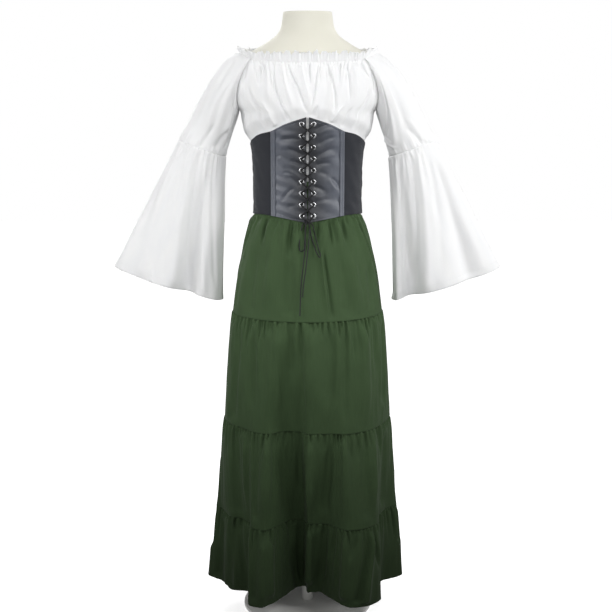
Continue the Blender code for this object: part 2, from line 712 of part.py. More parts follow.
def elastic_band(finish):
    """The elastic from one leather front round the back to the other."""
    across = np.linspace(0, 1, ELASTIC_SIDES + 1)
    share = np.linspace(1, 0, ELASTIC_ROWS + 1)[:, None]
    first = angle_at(LEATHER_EDGE_X + SEAM, WAIST_Z)
    angle = first + (2 * HALF_TURN - 2 * first) * across
    bottom = through(CORSET_BOTTOM, 1, folded(angle))
    z = bottom + (through(CORSET_TOP, 1, folded(angle)) - bottom) * share
    first = angle_at(LEATHER_EDGE_X + SEAM, z)
    angle = first + (2 * HALF_TURN - 2 * first) * across
    x, y = section(CORSET_SECTIONS, angle, z)
    sheet("elastic_band", np.stack([x, y, z], axis=-1), ELASTIC, finish)


def eyelet_heights():
    return np.linspace(EYELET_TOP_Z, EYELET_BOTTOM_Z, EYELET_ROWS)


def eyelets(side, label, finish):
    """Ring eyelets, each a turned three-cornered section on the leather."""
    seat = LEATHER / 2 + LAP
    profile = ((EYELET_HOLE_R, seat), (EYELET_R, seat),
               ((EYELET_HOLE_R + EYELET_R) / 2, seat + EYELET_HEIGHT))
    for number, height in enumerate(eyelet_heights(), 1):
        centre, normal = corset_points(EYELET_X * side, height)
        turned = Vector(normal).to_track_quat("Z", "Y")
        bm = bmesh.new()
        corners = [bm.verts.new((radius, 0, rise)) for radius, rise in profile]
        edges = [bm.edges.new((corners[i], corners[i - 1])) for i in range(len(corners))]
        bmesh.ops.spin(bm, geom=corners + edges, cent=(0, 0, 0), axis=(0, 0, 1),
                       angle=2 * math.pi, steps=EYELET_SIDES, use_merge=True)
        ring = solid(f"eyelet_{label}_{number}", bm, finish)
        ring.location = Vector(centre)
        ring.rotation_mode = "QUATERNION"
        ring.rotation_quaternion = turned


def swept(name, line, radius, sides, finish):
    """A round cord along a line of points, closed at both ends."""
    line = np.array(line, float)
    way = np.gradient(line, axis=0)
    way /= np.linalg.norm(way, axis=1, keepdims=True)
    across = np.cross(way[0], CROSS_WAY)
    rings = []
    for centre, ahead in zip(line, way):
        across = across - ahead * (across @ ahead)
        across = across / np.linalg.norm(across)
        other = np.cross(ahead, across)
        rings.append([centre + radius * (across * math.cos(a) + other * math.sin(a))
                      for a in np.arange(sides) * 2 * math.pi / sides])
    return lofted(name, rings, finish)


def lacing(name, first_side, finish):
    """One lace: down through an eyelet, across the gap to the next on the other side, over or
    under its twin, and from the last eyelet to the bow's knot."""
    heights = eyelet_heights()
    rows = []
    side = first_side
    for number, height in enumerate(heights):
        x = EYELET_X * side
        rows.append((x, height + LACE_LEG, LACE_IN_HOLE))
        rows.append((x, height - LACE_LEG, LACE_IN_HOLE))
        if number == EYELET_ROWS - 1:
            break
        end_x, end_z = -x, heights[number + 1] + LACE_LEG
        start = np.array([x, height - LACE_LEG])
        way = np.array([end_x, end_z]) - start
        near = LACE_RING_REACH / np.linalg.norm(way)
        over = LACE_OVER if (number + (first_side > 0)) % 2 else LACE_UNDER
        for share, offset in ((near, LACE_OVER_RING), (0.5, over), (1 - near, LACE_OVER_RING)):
            rows.append((*(start + way * share), offset))
        side = -side
    x = EYELET_X * side
    rows.append((x - side * LACE_RING_REACH, heights[-1] - LACE_RING_REACH, LACE_OVER))
    rows.append((side * (KNOT_SIZE[0] + LACE_R - EDGE_GAP), KNOT_Z + LACE_R, KNOT_OFFSET))
    table = np.array(rows)
    points, _ = corset_points(table[:, 0], table[:, 1], table[:, 2])
    swept(name, points, LACE_R, LACE_SIDES, finish)


def knot_centre():
    return corset_points(0.0, KNOT_Z, KNOT_OFFSET)[0]


def at_knot(point):
    """Where a cord that comes from a point meets the knot."""
    way = np.array(point) - knot_centre()
    return knot_centre() + way * (1 / np.linalg.norm(way / KNOT_SIZE) + LAP / np.linalg.norm(way))


def knot(finish):
    bm = bmesh.new()
    bmesh.ops.create_uvsphere(bm, u_segments=8, v_segments=5, radius=1.0)
    bmesh.ops.scale(bm, verts=bm.verts, vec=KNOT_SIZE)
    bmesh.ops.translate(bm, verts=bm.verts, vec=knot_centre())
    solid("bow_knot", bm, finish)


def smooth_route(points, spacing):
    """Points at an even spacing along a smooth curve through a hand-laid route."""
    points = np.array(points, float)
    steps = np.concatenate([[0], np.cumsum(np.linalg.norm(np.diff(points, axis=0), axis=1))])
    fine = np.linspace(0, steps[-1], FINE_POINTS)
    table = np.column_stack([steps, points])
    line = np.stack([through(table, axis, fine) for axis in (1, 2, 3)], axis=-1)
    run = np.concatenate([[0], np.cumsum(np.linalg.norm(np.diff(line, axis=0), axis=1))])
    even = np.linspace(0, run[-1], max(3, round(run[-1] / spacing) + 1))
    return np.stack([np.interp(even, run, line[:, axis]) for axis in range(3)], axis=-1)


def cord(name, route, both_ends, finish):
    """A loop or a free end of the bow: a round tube on its route from the knot."""
    route = [at_knot(route[0]), *route]
    if both_ends:
        route.append(at_knot(route[-1]))
    line = smooth_route(route, CORD_POINT_SPACING)
    curve = bpy.data.curves.new(name, "CURVE")
    curve.dimensions = "3D"
    curve.bevel_depth = BOW_CORD_R
    curve.bevel_resolution = 2
    curve.use_fill_caps = True
    spline = curve.splines.new("POLY")
    spline.points.add(len(line) - 1)
    for point, place in zip(spline.points, line):
        point.co = (*place, 1.0)
    curve.materials.append(finish)
    made = bpy.data.objects.new(name, curve)
    bpy.context.scene.collection.objects.link(made)


# The dress form and its stand

def form_torso(finish):
    angle = np.arange(FORM_SIDES) * 360.0 / FORM_SIDES
    rings = []
    for height in (row[0] for row in FORM_SECTIONS):
        x, y = section(FORM_SECTIONS, angle, height)
        rings.append(np.stack([x, y, np.full(angle.shape, height)], axis=-1).tolist())
    lofted("form_torso", rings, finish)


def turned(name, profile, finish):
    """A solid turned about the pole's axis from radius and height pairs, bottom first."""
    angle = np.arange(TURNED_SIDES) * 2 * math.pi / TURNED_SIDES
    rings = [np.stack([r * np.cos(angle), r * np.sin(angle), np.full(angle.shape, z)],
                      axis=-1).tolist() for r, z in profile]
    return lofted(name, rings, finish)


def stand(finish):
    turned("stand_base", ((BASE_R, 0.0), (BASE_R, BASE_HEIGHT - BASE_BEVEL),
                          (BASE_R - BASE_BEVEL, BASE_HEIGHT)), finish)
    turned("stand_pole", ((POLE_R, BASE_HEIGHT + LAP), (POLE_R, POLE_TOP_Z)), finish)


def main():
    clear_scene()
    white = material("white_cotton", (0.86, 0.87, 0.86), 0.8)
    green = material("green_challis", (0.035, 0.075, 0.024), 0.75)
    black = material("black_leather", (0.020, 0.021, 0.025), 0.38)
    stretch = material("black_elastic", (0.022, 0.023, 0.028), 0.85)
    lace = material("black_lace", (0.008, 0.008, 0.009), 0.6)
    nickel = material("nickel_eyelet", (0.80, 0.81, 0.82), 0.2, 1.0)
    jersey = material("cream_jersey", (0.84, 0.82, 0.74), 0.7)
    paint = material("stand_paint", (0.80, 0.80, 0.78), 0.45)

    blouse_half("blouse_front", False, white)
    blouse_half("blouse_back", True, white)
    neck_frill(white)
    for label, side, folds in (("left", -1, BELL_FOLDS_LEFT), ("right", 1, BELL_FOLDS_RIGHT)):
        upper_sleeve(f"sleeve_{label}", side, white)
        bell(f"bell_{label}", side, folds, white)
        leather_front(f"leather_{label}", side, black)
        edge_strip(f"edge_strip_{label}", side, black)
        eyelets(side, label, nickel)
        lacing(f"lace_{label}", side, lace)
    elastic_band(stretch)
    tier_1(green)
    for tier in GATHERED_TIERS:
        gathered_tier(tier, green)
    knot(lace)
    cord("bow_loop_left", LOOP_LEFT, True, lace)
    cord("bow_loop_right", LOOP_RIGHT, True, lace)
    cord("bow_tail_long", TAIL_LONG, False, lace)
    cord("bow_tail_short", TAIL_SHORT, False, lace)
    form_torso(jersey)
    stand(paint)


main()
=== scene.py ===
"""The looks of a tiered medieval gown on its dress form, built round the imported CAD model.

The gown is cotton gauze above and rayon challis below, with a laced cincher of faux leather and
ribbed elastic over the waist seam. Each piece of cloth is a thin surface on its CAD solid's own
form: the first part of this file repeats the sizes and formulas that shape those solids, and the
folds, gathers, ruffles, stitches and finishes come after it.

Metres, +Z up, the origin on the floor under the pole. The front looks along -Y, and +X is on the
viewer's right. Angles round the body are in degrees from the front and grow towards +X.
"""

import math

import bmesh
import bpy
import numpy as np
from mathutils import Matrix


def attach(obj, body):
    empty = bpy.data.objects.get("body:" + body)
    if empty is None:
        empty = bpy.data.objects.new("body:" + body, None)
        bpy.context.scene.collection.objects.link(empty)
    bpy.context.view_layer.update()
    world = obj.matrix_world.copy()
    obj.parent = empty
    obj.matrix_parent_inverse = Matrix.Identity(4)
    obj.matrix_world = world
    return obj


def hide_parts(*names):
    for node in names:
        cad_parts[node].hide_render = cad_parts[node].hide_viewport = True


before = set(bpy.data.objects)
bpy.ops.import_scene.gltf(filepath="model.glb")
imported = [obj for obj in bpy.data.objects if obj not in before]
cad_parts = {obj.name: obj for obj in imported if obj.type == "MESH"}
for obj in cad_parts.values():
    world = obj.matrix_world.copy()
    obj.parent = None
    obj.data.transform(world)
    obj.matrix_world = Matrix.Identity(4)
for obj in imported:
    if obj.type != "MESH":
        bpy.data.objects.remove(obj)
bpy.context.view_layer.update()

# Walls and clearances, as in the CAD model
CLOTH = 0.0012
LEATHER = 0.0018
STRIP = 0.0010
SEAM = 0.0004
LAP = 0.0003
EDGE_GAP = 0.0007
CORSET_EASE = 0.0009

# Heights of the seams and edges
HEM_Z = 0.062
SEAM_3_Z = 0.240
SEAM_2_Z = 0.457
SEAM_1_Z = 0.707
WAIST_Z = 1.004
HELD_PAST_EDGE = 0.001

# The skirt's first tier: height, half width, depth in front and behind
TIER_1_SECTIONS = (
    (0.707, 0.1700, 0.163, 0.161),
    (0.728, 0.1675, 0.160, 0.158),
    (0.786, 0.1590, 0.149, 0.146),
    (0.838, 0.1485, 0.136, 0.130),
    (0.866, 0.1425, 0.128, 0.120),
    (0.906, 0.1290, 0.112, 0.103),
    (0.930, 0.1235, 0.104, 0.093),
)

# The gathered tiers: name, top, bottom, then half width, front and back depth at top and bottom
TIER_2 = ("tier_2", SEAM_1_Z, SEAM_2_Z, (0.1700, 0.163, 0.161), (0.1875, 0.169, 0.168))
TIER_3 = ("tier_3", SEAM_2_Z, SEAM_3_Z, (0.1925, 0.174, 0.173), (0.2075, 0.176, 0.176))
TIER_4 = ("tier_4", SEAM_3_Z, HEM_Z, (0.2125, 0.181, 0.181), (0.2255, 0.180, 0.184))
TIER_BULGE = 0.005
TIER_BULGE_DROP = 0.015

# Hanging folds: angle, half angle, depth at the hem (outwards if negative), edge power,
# height where the fold starts
FOLDS = (
    (-14.0, 12.0, 0.130, 6, 0.700),
    (10.0, 14.0, 0.092, 6, 0.580),
    (-33.0, 14.0, -0.014, 2, 0.600),
    (38.0, 13.0, -0.017, 2, 0.600),
    (-53.0, 10.0, 0.050, 4, 0.560),
    (-75.0, 15.0, 0.030, 4, 0.500),
    (-93.0, 6.0, -0.012, 2, 0.400),
    (73.0, 16.0, 0.056, 4, 0.560),
    (-116.0, 12.0, 0.040, 2, 0.600),
    (-152.0, 13.0, 0.050, 2, 0.640),
    (166.0, 12.0, 0.044, 2, 0.640),
    (124.0, 13.0, 0.042, 2, 0.600),
)
FOLD_GROWTH = 1.3

# The cincher: height, half width, depth in front and behind, at the middle of its wall
CORSET_SECTIONS = (
    (0.905, 0.1230, 0.1020, 0.0900),
    (0.930, 0.1218, 0.1000, 0.0880),
    (0.956, 0.1212, 0.0990, 0.0870),
    (1.000, 0.1215, 0.0990, 0.0865),
    (1.030, 0.1222, 0.1005, 0.0868),
    (1.060, 0.1238, 0.1035, 0.0880),
    (1.083, 0.1278, 0.1075, 0.0905),
    (1.112, 0.1335, 0.1115, 0.0940),
    (1.142, 0.1370, 0.1140, 0.0980),
)
# Its top and bottom edges: angle from the front, height
CORSET_TOP = ((0, 1.142), (24, 1.126), (40, 1.112), (55, 1.105), (70, 1.094), (90, 1.079),
              (130, 1.074), (180, 1.073))
CORSET_BOTTOM = ((0, 0.914), (10, 0.918), (40, 0.928), (90, 0.927), (180, 0.927))
LEATHER_EDGE_X = 0.079
LACING_GAP_TOP = 0.0026
LACING_GAP_BOTTOM = 0.0009
LACING_GAP_HEIGHTS = (0.940, 1.040)
STRIP_WIDTH = 0.010

# Eyelets and lacing
EYELET_ROWS = 9
EYELET_TOP_Z = 1.127
EYELET_BOTTOM_Z = 0.929
EYELET_X = 0.0128
LACE_R = 0.00125
LACE_IN_HOLE = 0.0008
LACE_OVER_RING = 0.0046
LACE_RING_REACH = 0.0037
LACE_LEG = 0.00155
LACE_OVER = 0.0058
LACE_UNDER = 0.0029

# The bow under the last eyelets, and its routes on the skirt
KNOT_Z = 0.9185
KNOT_OFFSET = 0.0052
KNOT_SIZE = (0.0050, 0.0034, 0.0052)
BOW_CORD_R = 0.0012
LOOP_LEFT = (
    (-0.0090, -0.1085, 0.9130), (-0.0132, -0.1132, 0.9010), (-0.0165, -0.1235, 0.8830),
    (-0.0180, -0.1330, 0.8680), (-0.0145, -0.1392, 0.8570), (-0.0090, -0.1385, 0.8590),
    (-0.0064, -0.1308, 0.8730), (-0.0050, -0.1195, 0.8925), (-0.0040, -0.1105, 0.9075),
)
LOOP_RIGHT = (
    (0.0090, -0.1085, 0.9130), (0.0134, -0.1135, 0.9010), (0.0180, -0.1240, 0.8830),
    (0.0240, -0.1370, 0.8600), (0.0277, -0.1425, 0.8480), (0.0262, -0.1452, 0.8445),
    (0.0210, -0.1428, 0.8520), (0.0137, -0.1325, 0.8700), (0.0074, -0.1212, 0.8895),
    (0.0042, -0.1110, 0.9065),
)
TAIL_LONG = (
    (-0.0029, -0.1114, 0.9161), (-0.0048, -0.1170, 0.9080), (-0.0050, -0.1252, 0.8930),
    (-0.0050, -0.1345, 0.8730), (-0.0064, -0.1435, 0.8520), (-0.0095, -0.1520, 0.8250),
    (-0.0130, -0.1590, 0.7950), (-0.0150, -0.1650, 0.7650), (-0.0160, -0.1695, 0.7380),
    (-0.0165, -0.1712, 0.7220),
)
TAIL_SHORT = (
    (0.0029, -0.1114, 0.9163), (0.0046, -0.1170, 0.9085), (0.0038, -0.1262, 0.8930),
    (0.0020, -0.1375, 0.8700), (-0.0008, -0.1470, 0.8480), (-0.0040, -0.1550, 0.8200),
    (-0.0080, -0.1612, 0.7920), (-0.0108, -0.1655, 0.7620),
)

# The blouse above the cincher: height, half width, depth in front and behind
BLOUSE_SECTIONS = (
    (1.060, 0.1275, 0.110, 0.0920),
    (1.085, 0.1310, 0.114, 0.0950),
    (1.112, 0.1415, 0.117, 0.0970),
    (1.134, 0.1460, 0.119, 0.0985),
    (1.154, 0.1500, 0.119, 0.0990),
    (1.165, 0.1600, 0.118, 0.0985),
    (1.181, 0.1700, 0.115, 0.0980),
    (1.208, 0.1780, 0.108, 0.0950),
    (1.236, 0.1795, 0.098, 0.0900),
    (1.266, 0.1790, 0.081, 0.0830),
    (1.290, 0.1700, 0.066, 0.0790),
)
CLOTH_SPREAD = 0.028
NECK_CORNER = 43.0
UNDERARM = 90.0
NECKLINE_FRONT_Z = 1.259
NECKLINE_SHOULDER_Z = 1.281
NECKLINE_SHOULDER_X = 0.148
NECKLINE_BACK_Z = 1.284
# The armhole seam from the neckline to the underarm: angle from the middle, heights in front
# and behind
ARMHOLE = (
    (43.0, 1.266, 1.277),
    (51.0, 1.236, 1.240),
    (57.0, 1.208, 1.208),
    (65.0, 1.178, 1.178),
    (90.0, 1.154, 1.154),
)
ARMHOLE_LAP = 0.0017

# The frill above the neckline
FRILL_WAVES = 38
FRILL_FRONT_HEIGHT = 0.018
FRILL_SIDE_HEIGHT = 0.010
FRILL_REACH = 0.0034
FRILL_FOOT_REACH = 0.0010
FRILL_OUT = 0.0022
FRILL_LIFT = -0.0006

# Sleeves, for the one on the +X side: the elbow seam and the hem of the bell
ELBOW_OUTER = (0.285, 1.092)
ELBOW_INNER = (0.183, 1.055)
ELBOW_DEPTH = 0.046
SLEEVE_OUTER_WAY = (0.490, -0.872)
SLEEVE_INNER_WAY = (0.300, -0.954)
SHOULDER_WAY = (0.985, -0.174)
SLEEVE_DEEP_WAY = 0.35
SLEEVE_HOLD_TOP = 0.24
SLEEVE_HOLD_ELBOW = 0.36
HEM_OUTER = (0.437, 0.809)
HEM_INNER = (0.192, 0.732)
HEM_DEPTH = 0.074
# Folds of the bells: angle from the outer edge through the front, half angle, depth at the hem
BELL_FOLDS_RIGHT = ((68, 13, 0.016), (132, 13, 0.034), (160, 10, -0.010), (-70, 16, 0.022),
                    (-125, 15, 0.026))
BELL_FOLDS_LEFT = ((112, 11, 0.036), (52, 16, 0.008), (150, 14, -0.008), (-60, 15, 0.020),
                   (-118, 15, 0.028))

# The dress form: height, half width, depth in front and behind
FORM_SECTIONS = (
    (0.606, 0.0900, 0.070, 0.072),
    (0.612, 0.1180, 0.094, 0.098),
    (0.630, 0.1400, 0.114, 0.118),
    (0.665, 0.1490, 0.124, 0.130),
    (0.720, 0.1525, 0.130, 0.138),
    (0.780, 0.1500, 0.129, 0.135),
    (0.830, 0.1405, 0.121, 0.119),
    (0.866, 0.1320, 0.111, 0.106),
    (0.905, 0.1185, 0.0975, 0.0855),
    (0.930, 0.1172, 0.0955, 0.0835),
    (1.000, 0.1170, 0.0945, 0.0820),
    (1.060, 0.1192, 0.0985, 0.0835),
    (1.085, 0.1230, 0.1020, 0.0855),
    (1.112, 0.1280, 0.1060, 0.0890),
    (1.140, 0.1350, 0.1080, 0.0905),
    (1.165, 0.1440, 0.1080, 0.0910),
    (1.190, 0.1570, 0.1040, 0.0890),
    (1.215, 0.1650, 0.0960, 0.0850),
    (1.240, 0.1690, 0.0870, 0.0810),
    (1.257, 0.1640, 0.0790, 0.0780),
    (1.273, 0.1490, 0.0725, 0.0765),
    (1.282, 0.1280, 0.0675, 0.0750),
    (1.293, 0.1060, 0.0620, 0.0735),
    (1.304, 0.0880, 0.0570, 0.0715),
    (1.317, 0.0700, 0.0520, 0.0690),
    (1.332, 0.0600, 0.0485, 0.0660),
    (1.350, 0.0560, 0.0460, 0.0630),
    (1.368, 0.0535, 0.0450, 0.0620),
)
POLE_R = 0.0125
POLE_TOP_Z = 0.6056
BASE_R = 0.150
BASE_HEIGHT = 0.006
BASE_BEVEL = 0.0015

HALF_TURN = 180.0
MIRROR = np.array([-1, 1, 1])
# A direction that no cord runs along, from which its rings are turned
CROSS_WAY = (0.3, 0.9, 0.2)
FINE_POINTS = 721
NECK_STEPS = 60
# Degrees and metres to each side over which a normal is measured
NORMAL_TURN = 0.5
NORMAL_STEP = 0.001


# Formulas that shape the CAD model too

def through(table, column, at):
    """A smooth line through one column of a table, against its first column: cubic pieces whose
    slopes are those of the neighbouring rows."""
    rows = np.array(table, float)
    x, y = rows[:, 0], rows[:, column]
    at = np.clip(np.asarray(at, float), x[0], x[-1])
    slope = np.gradient(y, x)
    piece = np.clip(np.searchsorted(x, at) - 1, 0, len(x) - 2)
    step = x[piece + 1] - x[piece]
    t = (at - x[piece]) / step
    return (y[piece] * (1 + 2 * t) * (1 - t) ** 2 + slope[piece] * step * t * (1 - t) ** 2
            + y[piece + 1] * t * t * (3 - 2 * t) + slope[piece + 1] * step * t * t * (t - 1))


def smooth(t):
    """Goes from 0 to 1 as t does, level at both ends: t squared times (3 - 2t)."""
    t = np.clip(t, 0.0, 1.0)
    return t * t * (3 - 2 * t)


def hump(away, half):
    """A bell-shaped hill, 1 at its middle: e to the power of minus the square of away over
    half."""
    return np.exp(-(away / half) ** 2)


def unit(vectors):
    """Vectors brought to length 1."""
    return vectors / np.linalg.norm(vectors, axis=-1, keepdims=True)


def run_of(line):
    """The distance along a line of points, from its first to each of them."""
    return np.concatenate([[0], np.cumsum(np.linalg.norm(np.diff(line, axis=0), axis=1))])


def points_at(places, run, line):
    """The points at some distances along a line."""
    return np.stack([np.interp(places, run, line[:, axis]) for axis in range(3)], axis=-1)


def wrap(angle):
    """An angle in degrees brought to the range -180 to 180."""
    return (np.asarray(angle, float) + HALF_TURN) % (2 * HALF_TURN) - HALF_TURN


def oval(angle, half_width, front, back):
    """The x and y of an oval section at an angle from the front."""
    turn = np.radians(angle)
    depth = np.where(np.cos(turn) > 0, front, back)
    return half_width * np.sin(turn), -depth * np.cos(turn)


def section(table, angle, z, grow=0.0):
    """The oval of a table of sections at an angle and a height."""
    return oval(angle, through(table, 1, z) + grow, through(table, 2, z) + grow,
                through(table, 3, z) + grow)


def under_corset(angle, z):
    """The layer of cloth that the cincher holds against the form."""
    return section(CORSET_SECTIONS, angle, z, -(LEATHER / 2 + CORSET_EASE + CLOTH / 2))


def edge_z(table, angle):
    """The height of one of the cincher's edges at an angle from the front."""
    return through(table, 1, np.abs(wrap(angle)))


def outward(points, closed=False):
    """Unit normals of a grid of points, rows down and columns along: down times along."""
    if closed:
        ring = np.concatenate([points[:, -1:], points, points[:, :1]], axis=1)
        return outward(ring)[:, 1:-1]
    return unit(np.cross(np.gradient(points, axis=0), np.gradient(points, axis=1)))


def fold_depth(angle, z):
    """How far the hanging folds take the skirt in from its tier's oval: a flat-topped bell over
    the angle for each fold, which grows from its start down to the hem."""
    taken = np.zeros(np.broadcast(angle, z).shape)
    for centre, half, depth, power, start in FOLDS:
        growth = np.clip((start - z) / (start - HEM_Z), 0, 1) ** FOLD_GROWTH
        taken = taken + depth * growth * np.exp(-np.abs(wrap(angle - centre) / half) ** power)
    return taken


def tier_points(tier, angle, z):
    """The mean surface of a gathered tier: an ellipse that widens from its upper to its lower
    sizes, with a small bulge under the seam, taken in by the folds."""
    _, top, bottom, upper, lower = tier
    share = (top - z) / (top - bottom)
    bulge = TIER_BULGE * (1 - np.exp(-(top - z) / TIER_BULGE_DROP))
    width, front, back = (a + (b - a) * share + bulge for a, b in zip(upper, lower))
    turn = np.radians(angle)
    depth = np.where(np.cos(turn) > 0, front, back)
    reach = 1 / np.sqrt((np.sin(turn) / width) ** 2 + (np.cos(turn) / depth) ** 2)
    reach = reach - fold_depth(angle, z)
    return np.stack(np.broadcast_arrays(reach * np.sin(turn), -reach * np.cos(turn), z), axis=-1)


def leaving_corset(table, angle, z, past_edge):
    """Cloth that lies close under the cincher, and spreads past its edge to a table's ovals."""
    share = smooth(past_edge / CLOTH_SPREAD)[..., None]
    held = np.stack(under_corset(angle, z), axis=-1)
    free = np.stack(section(table, angle, z), axis=-1)
    return np.concatenate([held * (1 - share) + free * share, z[..., None]], axis=-1)


def tier_1_points(angle, z):
    """The first tier: close under the cincher, and spreading to its own ovals below its edge."""
    past_edge = edge_z(CORSET_BOTTOM, angle) - HELD_PAST_EDGE - z
    return leaving_corset(TIER_1_SECTIONS, angle, z, past_edge)


def blouse_points(angle, z):
    """The blouse body: close under the cincher and full above its top edge."""
    past_edge = z - edge_z(CORSET_TOP, angle) - HELD_PAST_EDGE
    return leaving_corset(BLOUSE_SECTIONS, angle, z, past_edge)


def neckline_z(angle, behind):
    """The neckline's height at an angle from the middle of the front or the back."""
    middle = NECKLINE_BACK_Z if behind else NECKLINE_FRONT_Z
    corner = ARMHOLE[0][2 if behind else 1]
    return middle + (corner - middle) * (np.asarray(angle) / NECK_CORNER) ** 2


def armhole_points(angle, behind):
    """The sleeve's side of the armhole seam at angles from the middle, lapped out over the
    body's cloth."""
    z = through(ARMHOLE, 2 if behind else 1, angle)
    turn = HALF_TURN - angle if behind else angle
    near = np.array([-1.0, 0.0, 1.0])
    patch = blouse_points(*np.broadcast_arrays(
        turn[:, None, None] + NORMAL_TURN * near[None, None, :],
        z[:, None, None] - NORMAL_STEP * near[None, :, None]))
    normal = unit(np.cross(patch[:, 2, 1] - patch[:, 0, 1], patch[:, 1, 2] - patch[:, 1, 0]))
    return patch[:, 1, 1] + normal * ARMHOLE_LAP


def shoulder_points(t):
    """The neckline over the shoulder: t is -1 at the front corner, 0 on top and 1 behind."""
    corner_at = np.array([NECK_CORNER])
    corner = np.where(t[:, None] < 0, armhole_points(corner_at, False),
                      armhole_points(corner_at, True))
    x = NECKLINE_SHOULDER_X - (NECKLINE_SHOULDER_X - corner[:, 0]) * t ** 2
    y = corner[:, 1] * np.abs(t) ** 1.1
    z = NECKLINE_SHOULDER_Z - (NECKLINE_SHOULDER_Z - corner[:, 2]) * t ** 2
    return np.stack([x, y, z], axis=-1)


def elbow_ring(turn, drop):
    """The elbow seam: an oval that leans with the sleeve, moved down it by a drop."""
    outer, inner = np.array(ELBOW_OUTER), np.array(ELBOW_INNER)
    middle, reach = (outer + inner) / 2, (outer - inner) / 2
    down = np.array([reach[1], -reach[0]]) / np.linalg.norm(reach)
    across = middle + reach * np.cos(turn)[:, None] + down * drop
    return np.stack([across[:, 0], -ELBOW_DEPTH * np.sin(turn), across[:, 1]], axis=-1)


# The raglan opening in fourteenths of a turn from the top of the shoulder: the front corner of
# the neckline, the underarm and the back corner
OPENING_PARTS = 14
OPENING_CORNERS = (3, 7, 11)


def raglan_opening(turn):
    """The sleeve's upper edge at turns in degrees: over the shoulder to the front corner, down
    the front armhole to the underarm, up the back one, and back to the top."""
    part = turn / (2 * HALF_TURN) * OPENING_PARTS
    front, under, back = OPENING_CORNERS
    span = UNDERARM - NECK_CORNER
    ahead = armhole_points(NECK_CORNER + span * np.clip((part - front) / (under - front), 0, 1),
                           False)
    behind = armhole_points(UNDERARM - span * np.clip((part - under) / (back - under), 0, 1),
                            True)
    before = shoulder_points(-np.clip(part / front, 0, 1))
    after = shoulder_points(np.clip((OPENING_PARTS - part) / front, 0, 1))
    part = part[:, None]
    return np.select([part <= front, part <= under, part <= back],
                     [before, ahead, behind], after)


def upper_sleeve_points(turn, share):
    """The raglan sleeve of the +X side: cubic lines from the opening (share 0) to the elbow seam
    (share 1), which leave and arrive in set directions. Rows are shares and columns turns."""
    top = raglan_opening(turn)
    round_turn = np.radians(turn)
    foot = elbow_ring(round_turn, -EDGE_GAP / 2)
    inner = ((1 - np.cos(round_turn)) / 2)[:, None]
    outer_way, inner_way, first_way = (np.array([way[0], 0.0, way[1]]) for way in
                                       (SLEEVE_OUTER_WAY, SLEEVE_INNER_WAY, SHOULDER_WAY))
    leaving = first_way * (1 - inner) ** 1.5 + inner_way * inner
    leaving[:, 1] -= SLEEVE_DEEP_WAY * np.sin(round_turn)
    leaving = unit(leaving)
    arriving = outer_way * (1 - inner) + inner_way * inner
    span = np.linalg.norm(foot - top, axis=1, keepdims=True)
    first = top + leaving * span * SLEEVE_HOLD_TOP
    second = foot - arriving * span * SLEEVE_HOLD_ELBOW
    t = share[:, None, None]
    return (top * (1 - t) ** 3 + 3 * first * t * (1 - t) ** 2
            + 3 * second * t * t * (1 - t) + foot * t ** 3)


def bell_points(turn, share, folds):
    """The bell of the +X side: straight lines from the elbow seam (share 0) to a wide slanting
    hem (share 1), which the folds take in."""
    round_turn = np.radians(turn)
    top = elbow_ring(round_turn, EDGE_GAP / 2)
    outer, inner = np.array(HEM_OUTER), np.array(HEM_INNER)
    middle, reach = (outer + inner) / 2, (outer - inner) / 2
    taken = np.zeros(turn.shape)
    for centre, half, depth in folds:
        taken += depth * hump(wrap(turn - centre), half)
    across = middle + reach * np.cos(round_turn)[:, None]
    side = np.sin(round_turn)
    deep = -HEM_DEPTH * side + taken * smooth(np.abs(side) / 0.2) * np.sign(side)
    foot = np.stack([across[:, 0], deep, across[:, 1]], axis=-1)
    t = share[:, None, None]
    return top * (1 - t) + foot * t


def neckline_ring(count):
    """The neckline all round at even steps, from the front middle towards +X."""
    front = np.linspace(0, NECK_CORNER, NECK_STEPS)
    ahead = blouse_points(front, neckline_z(front, False))
    behind = blouse_points(HALF_TURN - front, neckline_z(front, True))
    shoulder = shoulder_points(np.linspace(-1, 1, NECK_STEPS + 1))
    half = np.concatenate([ahead, shoulder, behind[::-1]])
    line = np.concatenate([half, half[-2:0:-1] * MIRROR, half[:1]])
    run = run_of(line)
    return points_at(np.linspace(0, run[-1], count, endpoint=False), run, line)


def corset_points(x, z, offset=0.0):
    """Points on the cincher's front by x and height, moved out from the middle of its wall, and
    their normals."""
    x, z = np.broadcast_arrays(np.asarray(x, float), np.asarray(z, float))

    def at(x, z):
        width, front = through(CORSET_SECTIONS, 1, z), through(CORSET_SECTIONS, 2, z)
        return np.stack([x, -front * np.sqrt(1 - (x / width) ** 2), z], axis=-1)

    step = NORMAL_STEP
    normal = unit(np.cross(at(x + step, z) - at(x - step, z), at(x, z + step) - at(x, z - step)))
    return at(x, z) + normal * np.asarray(offset)[..., None], normal


def angle_at(x, z):
    """The angle from the front at an x of the cincher."""
    return np.degrees(np.arcsin(x / through(CORSET_SECTIONS, 1, z)))


def corset_edges(x):
    """The cincher's bottom and top heights at each x of its front."""
    angle = angle_at(np.abs(x), WAIST_Z)
    return through(CORSET_BOTTOM, 1, angle), through(CORSET_TOP, 1, angle)


def eyelet_heights():
    """The heights of the eyelets, from the top."""
    return np.linspace(EYELET_TOP_Z, EYELET_BOTTOM_Z, EYELET_ROWS)


def knot_centre():
    """The middle of the bow's knot."""
    return corset_points(0.0, KNOT_Z, KNOT_OFFSET)[0]


def at_knot(point):
    """Where a cord that comes from a point meets the knot."""
    way = np.array(point) - knot_centre()
    return knot_centre() + way * (1 / np.linalg.norm(way / KNOT_SIZE) + LAP / np.linalg.norm(way))


